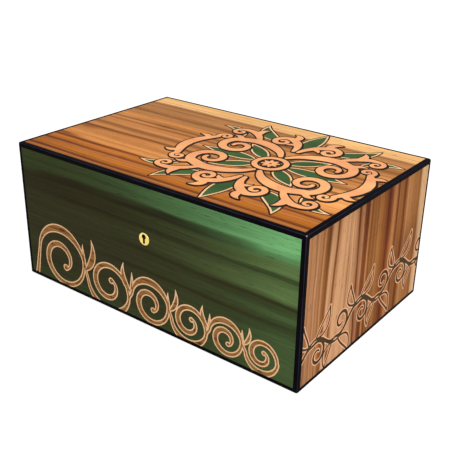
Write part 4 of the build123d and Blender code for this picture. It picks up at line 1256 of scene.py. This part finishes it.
# In mm: the thickness of the print, the radii of its rings, of each mark its inner radius and
# half its width, and the heights of the numbers and the percent sign, which stands PERCENT_DROP
# below the middle. The good stretch is in percent.
INK = 0.03
SCALE_LINE = (21.0, 21.2)
GOOD_BAND = (21.4, 22.3)
GOOD_STRETCH = (65, 75)
MARK_OUTER, MARK_MIDDLE = 20.9, 20.5
TEN_MARK, SMALL_MARK = (18.4, 0.2), (19.6, 0.1)
NUMBER_RING = 15.6
NUMBER_HEIGHT, PERCENT_HEIGHT = 3.4, 3.2
PERCENT_DROP = 9.5


def dial_angle(humidity):
    """Angle from twelve o'clock, clockwise, of a reading from 0 to 100."""
    return DIAL_SWEEP * (humidity / 100 - 0.5)


def arc_band(inner, outer, start, end, step=math.radians(4)):
    """A closed line round a part of a ring, between two radii in mm and two angles."""
    angles = np.linspace(start, end, max(2, int((end - start) / step) + 2))
    line = [(outer * math.sin(a), outer * math.cos(a)) for a in angles]
    line += [(inner * math.sin(a), inner * math.cos(a)) for a in angles[::-1]]
    return np.array(line)


marks = [arc_band(*SCALE_LINE, dial_angle(0), dial_angle(100))]
for humidity in range(0, 101, 2):
    inner, half = TEN_MARK if humidity % 10 == 0 else SMALL_MARK
    turn = half / MARK_MIDDLE
    marks.append(arc_band(inner, MARK_OUTER, dial_angle(humidity) - turn, dial_angle(humidity) + turn))
ink = enamel("printing_ink", paint(20, 20, 22))
marquetry("dial_marks", marks, dial_face, 0, INK, ink, "lid")
good = [arc_band(*GOOD_BAND, *(dial_angle(humidity) for humidity in GOOD_STRETCH))]
green = enamel("printing_green", paint(52, 120, 70))
marquetry("dial_good_stretch", good, dial_face, 0, INK, green, "lid")

# %% Numbers on the dial
SAME_PRINT = 0.001
CURVE_STEPS = 6


def printed(text, size, x, y):
    """A word as a flat mesh at a place on the dial, in mm."""
    line = bpy.data.curves.new("print", "FONT")
    line.body, line.size, line.extrude, line.resolution_u = text, size, INK / 2, CURVE_STEPS
    line.align_x, line.align_y = "CENTER", "CENTER"
    word = bpy.data.objects.new("print", line)
    mesh = bpy.data.meshes.new_from_object(word)
    bpy.data.objects.remove(word)
    mesh.transform(Matrix.Translation((x, y, INK / 2)))
    return mesh


words = [("%", PERCENT_HEIGHT, 0, -PERCENT_DROP)]
for humidity in range(0, 101, 20):
    a = dial_angle(humidity)
    words.append((str(humidity), NUMBER_HEIGHT, NUMBER_RING * math.sin(a), NUMBER_RING * math.cos(a)))
form = bmesh.new()
for word in words:
    form.from_mesh(printed(*word))
bmesh.ops.remove_doubles(form, verts=form.verts, dist=SAME_PRINT)
form.transform(dial_face)
mesh = bpy.data.meshes.new("dial_numbers")
form.to_mesh(mesh)
form.free()
add_piece("dial_numbers", mesh, ink, "lid")
print("dial numbers", [w[0] for w in words])

# %% [markdown]
# ## Floor and light
# The box stands on a plain pale floor in an even white surround. The floor would need a great
# deal of light to be seen as pure white, and that light would bleach the wood. So what the camera
# and the reflections see of the floor is part painted white and part lit, which keeps the soft
# shadow, and the wood gets lamps at a plain level.

# %% The floor
FLOOR_HALF = 6.0
GLOW = 0.82
SEEN_SHARE = 0.36


def seen_rays(tree):
    """1 for the rays of the camera and of reflections and glass, 0 for the rest."""
    path = tree.nodes.new("ShaderNodeLightPath")
    total = path.outputs["Is Camera Ray"]
    for name in ("Is Glossy Ray", "Is Transmission Ray"):
        more = tree.nodes.new("ShaderNodeMath")
        more.operation = "MAXIMUM"
        tree.links.new(total, more.inputs[0])
        tree.links.new(path.outputs[name], more.inputs[1])
        total = more.outputs[0]
    return total


def floor_paint():
    material = bpy.data.materials.new("floor_paint")
    material.use_nodes = True
    tree = material.node_tree
    tree.nodes.clear()
    out = tree.nodes.new("ShaderNodeOutputMaterial")
    plain = tree.nodes.new("ShaderNodeBsdfDiffuse")
    plain.inputs["Color"].default_value = paint(205, 204, 202)
    lit = tree.nodes.new("ShaderNodeBsdfDiffuse")
    lit.inputs["Color"].default_value = [SEEN_SHARE] * 3 + [1]
    glow = tree.nodes.new("ShaderNodeEmission")
    glow.inputs["Strength"].default_value = GLOW
    both = tree.nodes.new("ShaderNodeAddShader")
    tree.links.new(lit.outputs[0], both.inputs[0])
    tree.links.new(glow.outputs[0], both.inputs[1])
    choice = tree.nodes.new("ShaderNodeMixShader")
    tree.links.new(seen_rays(tree), choice.inputs[0])
    tree.links.new(plain.outputs[0], choice.inputs[1])
    tree.links.new(both.outputs[0], choice.inputs[2])
    tree.links.new(choice.outputs[0], out.inputs["Surface"])
    return material


floor_mesh = bpy.data.meshes.new("floor")
corners = [(x * FLOOR_HALF, y * FLOOR_HALF, FOOT) for x, y in ((-1, -1), (1, -1), (1, 1), (-1, 1))]
floor_mesh.from_pydata(corners, [], [(0, 1, 2, 3)])
floor_mesh.materials.append(floor_paint())
floor = bpy.data.objects.new("floor", floor_mesh)
bpy.context.scene.collection.objects.link(floor)
print("floor", 2 * FLOOR_HALF, "m wide")

# %% The surround
AMBIENT = 0.5
world = bpy.data.worlds.new("surround")
bpy.context.scene.world = world
world.use_nodes = True
sky = world.node_tree
background = sky.nodes["Background"]
background.inputs["Color"].default_value = (1, 1, 1, 1)
level = sky.nodes.new("ShaderNodeMapRange")
sky.links.new(seen_rays(sky), level.inputs["Value"])
level.inputs["To Min"].default_value = AMBIENT
level.inputs["To Max"].default_value = 1.0
sky.links.new(level.outputs[0], background.inputs["Strength"])
print("surround gives", AMBIENT, "of the light that the camera sees in it")

# %% Soft lamps
LAMP_TARGET = Vector((0, 0, 0.08))


def soft_lamp(name, place, size, watts):
    """A square lamp that shines from its place at the middle of the box."""
    data = bpy.data.lights.new(name, "AREA")
    data.shape, data.size, data.energy = "SQUARE", size, watts
    lamp = bpy.data.objects.new(name, data)
    lamp.location = place
    lamp.rotation_euler = (LAMP_TARGET - Vector(place)).to_track_quat("-Z", "Y").to_euler()
    bpy.context.scene.collection.objects.link(lamp)
    print(name, size, "m square,", watts, "W")


soft_lamp("lamp_overhead", (0.3, -0.2, 1.7), 1.4, 11.0)
soft_lamp("lamp_right", (1.7, -0.3, 0.9), 1.0, 11.0)
soft_lamp("lamp_front", (0.5, -1.8, 0.7), 0.9, 5.0)
soft_lamp("lamp_spark", (1.1, -1.3, 1.5), 0.14, 5.0)
bpy.context.scene.view_settings.view_transform = "Standard"
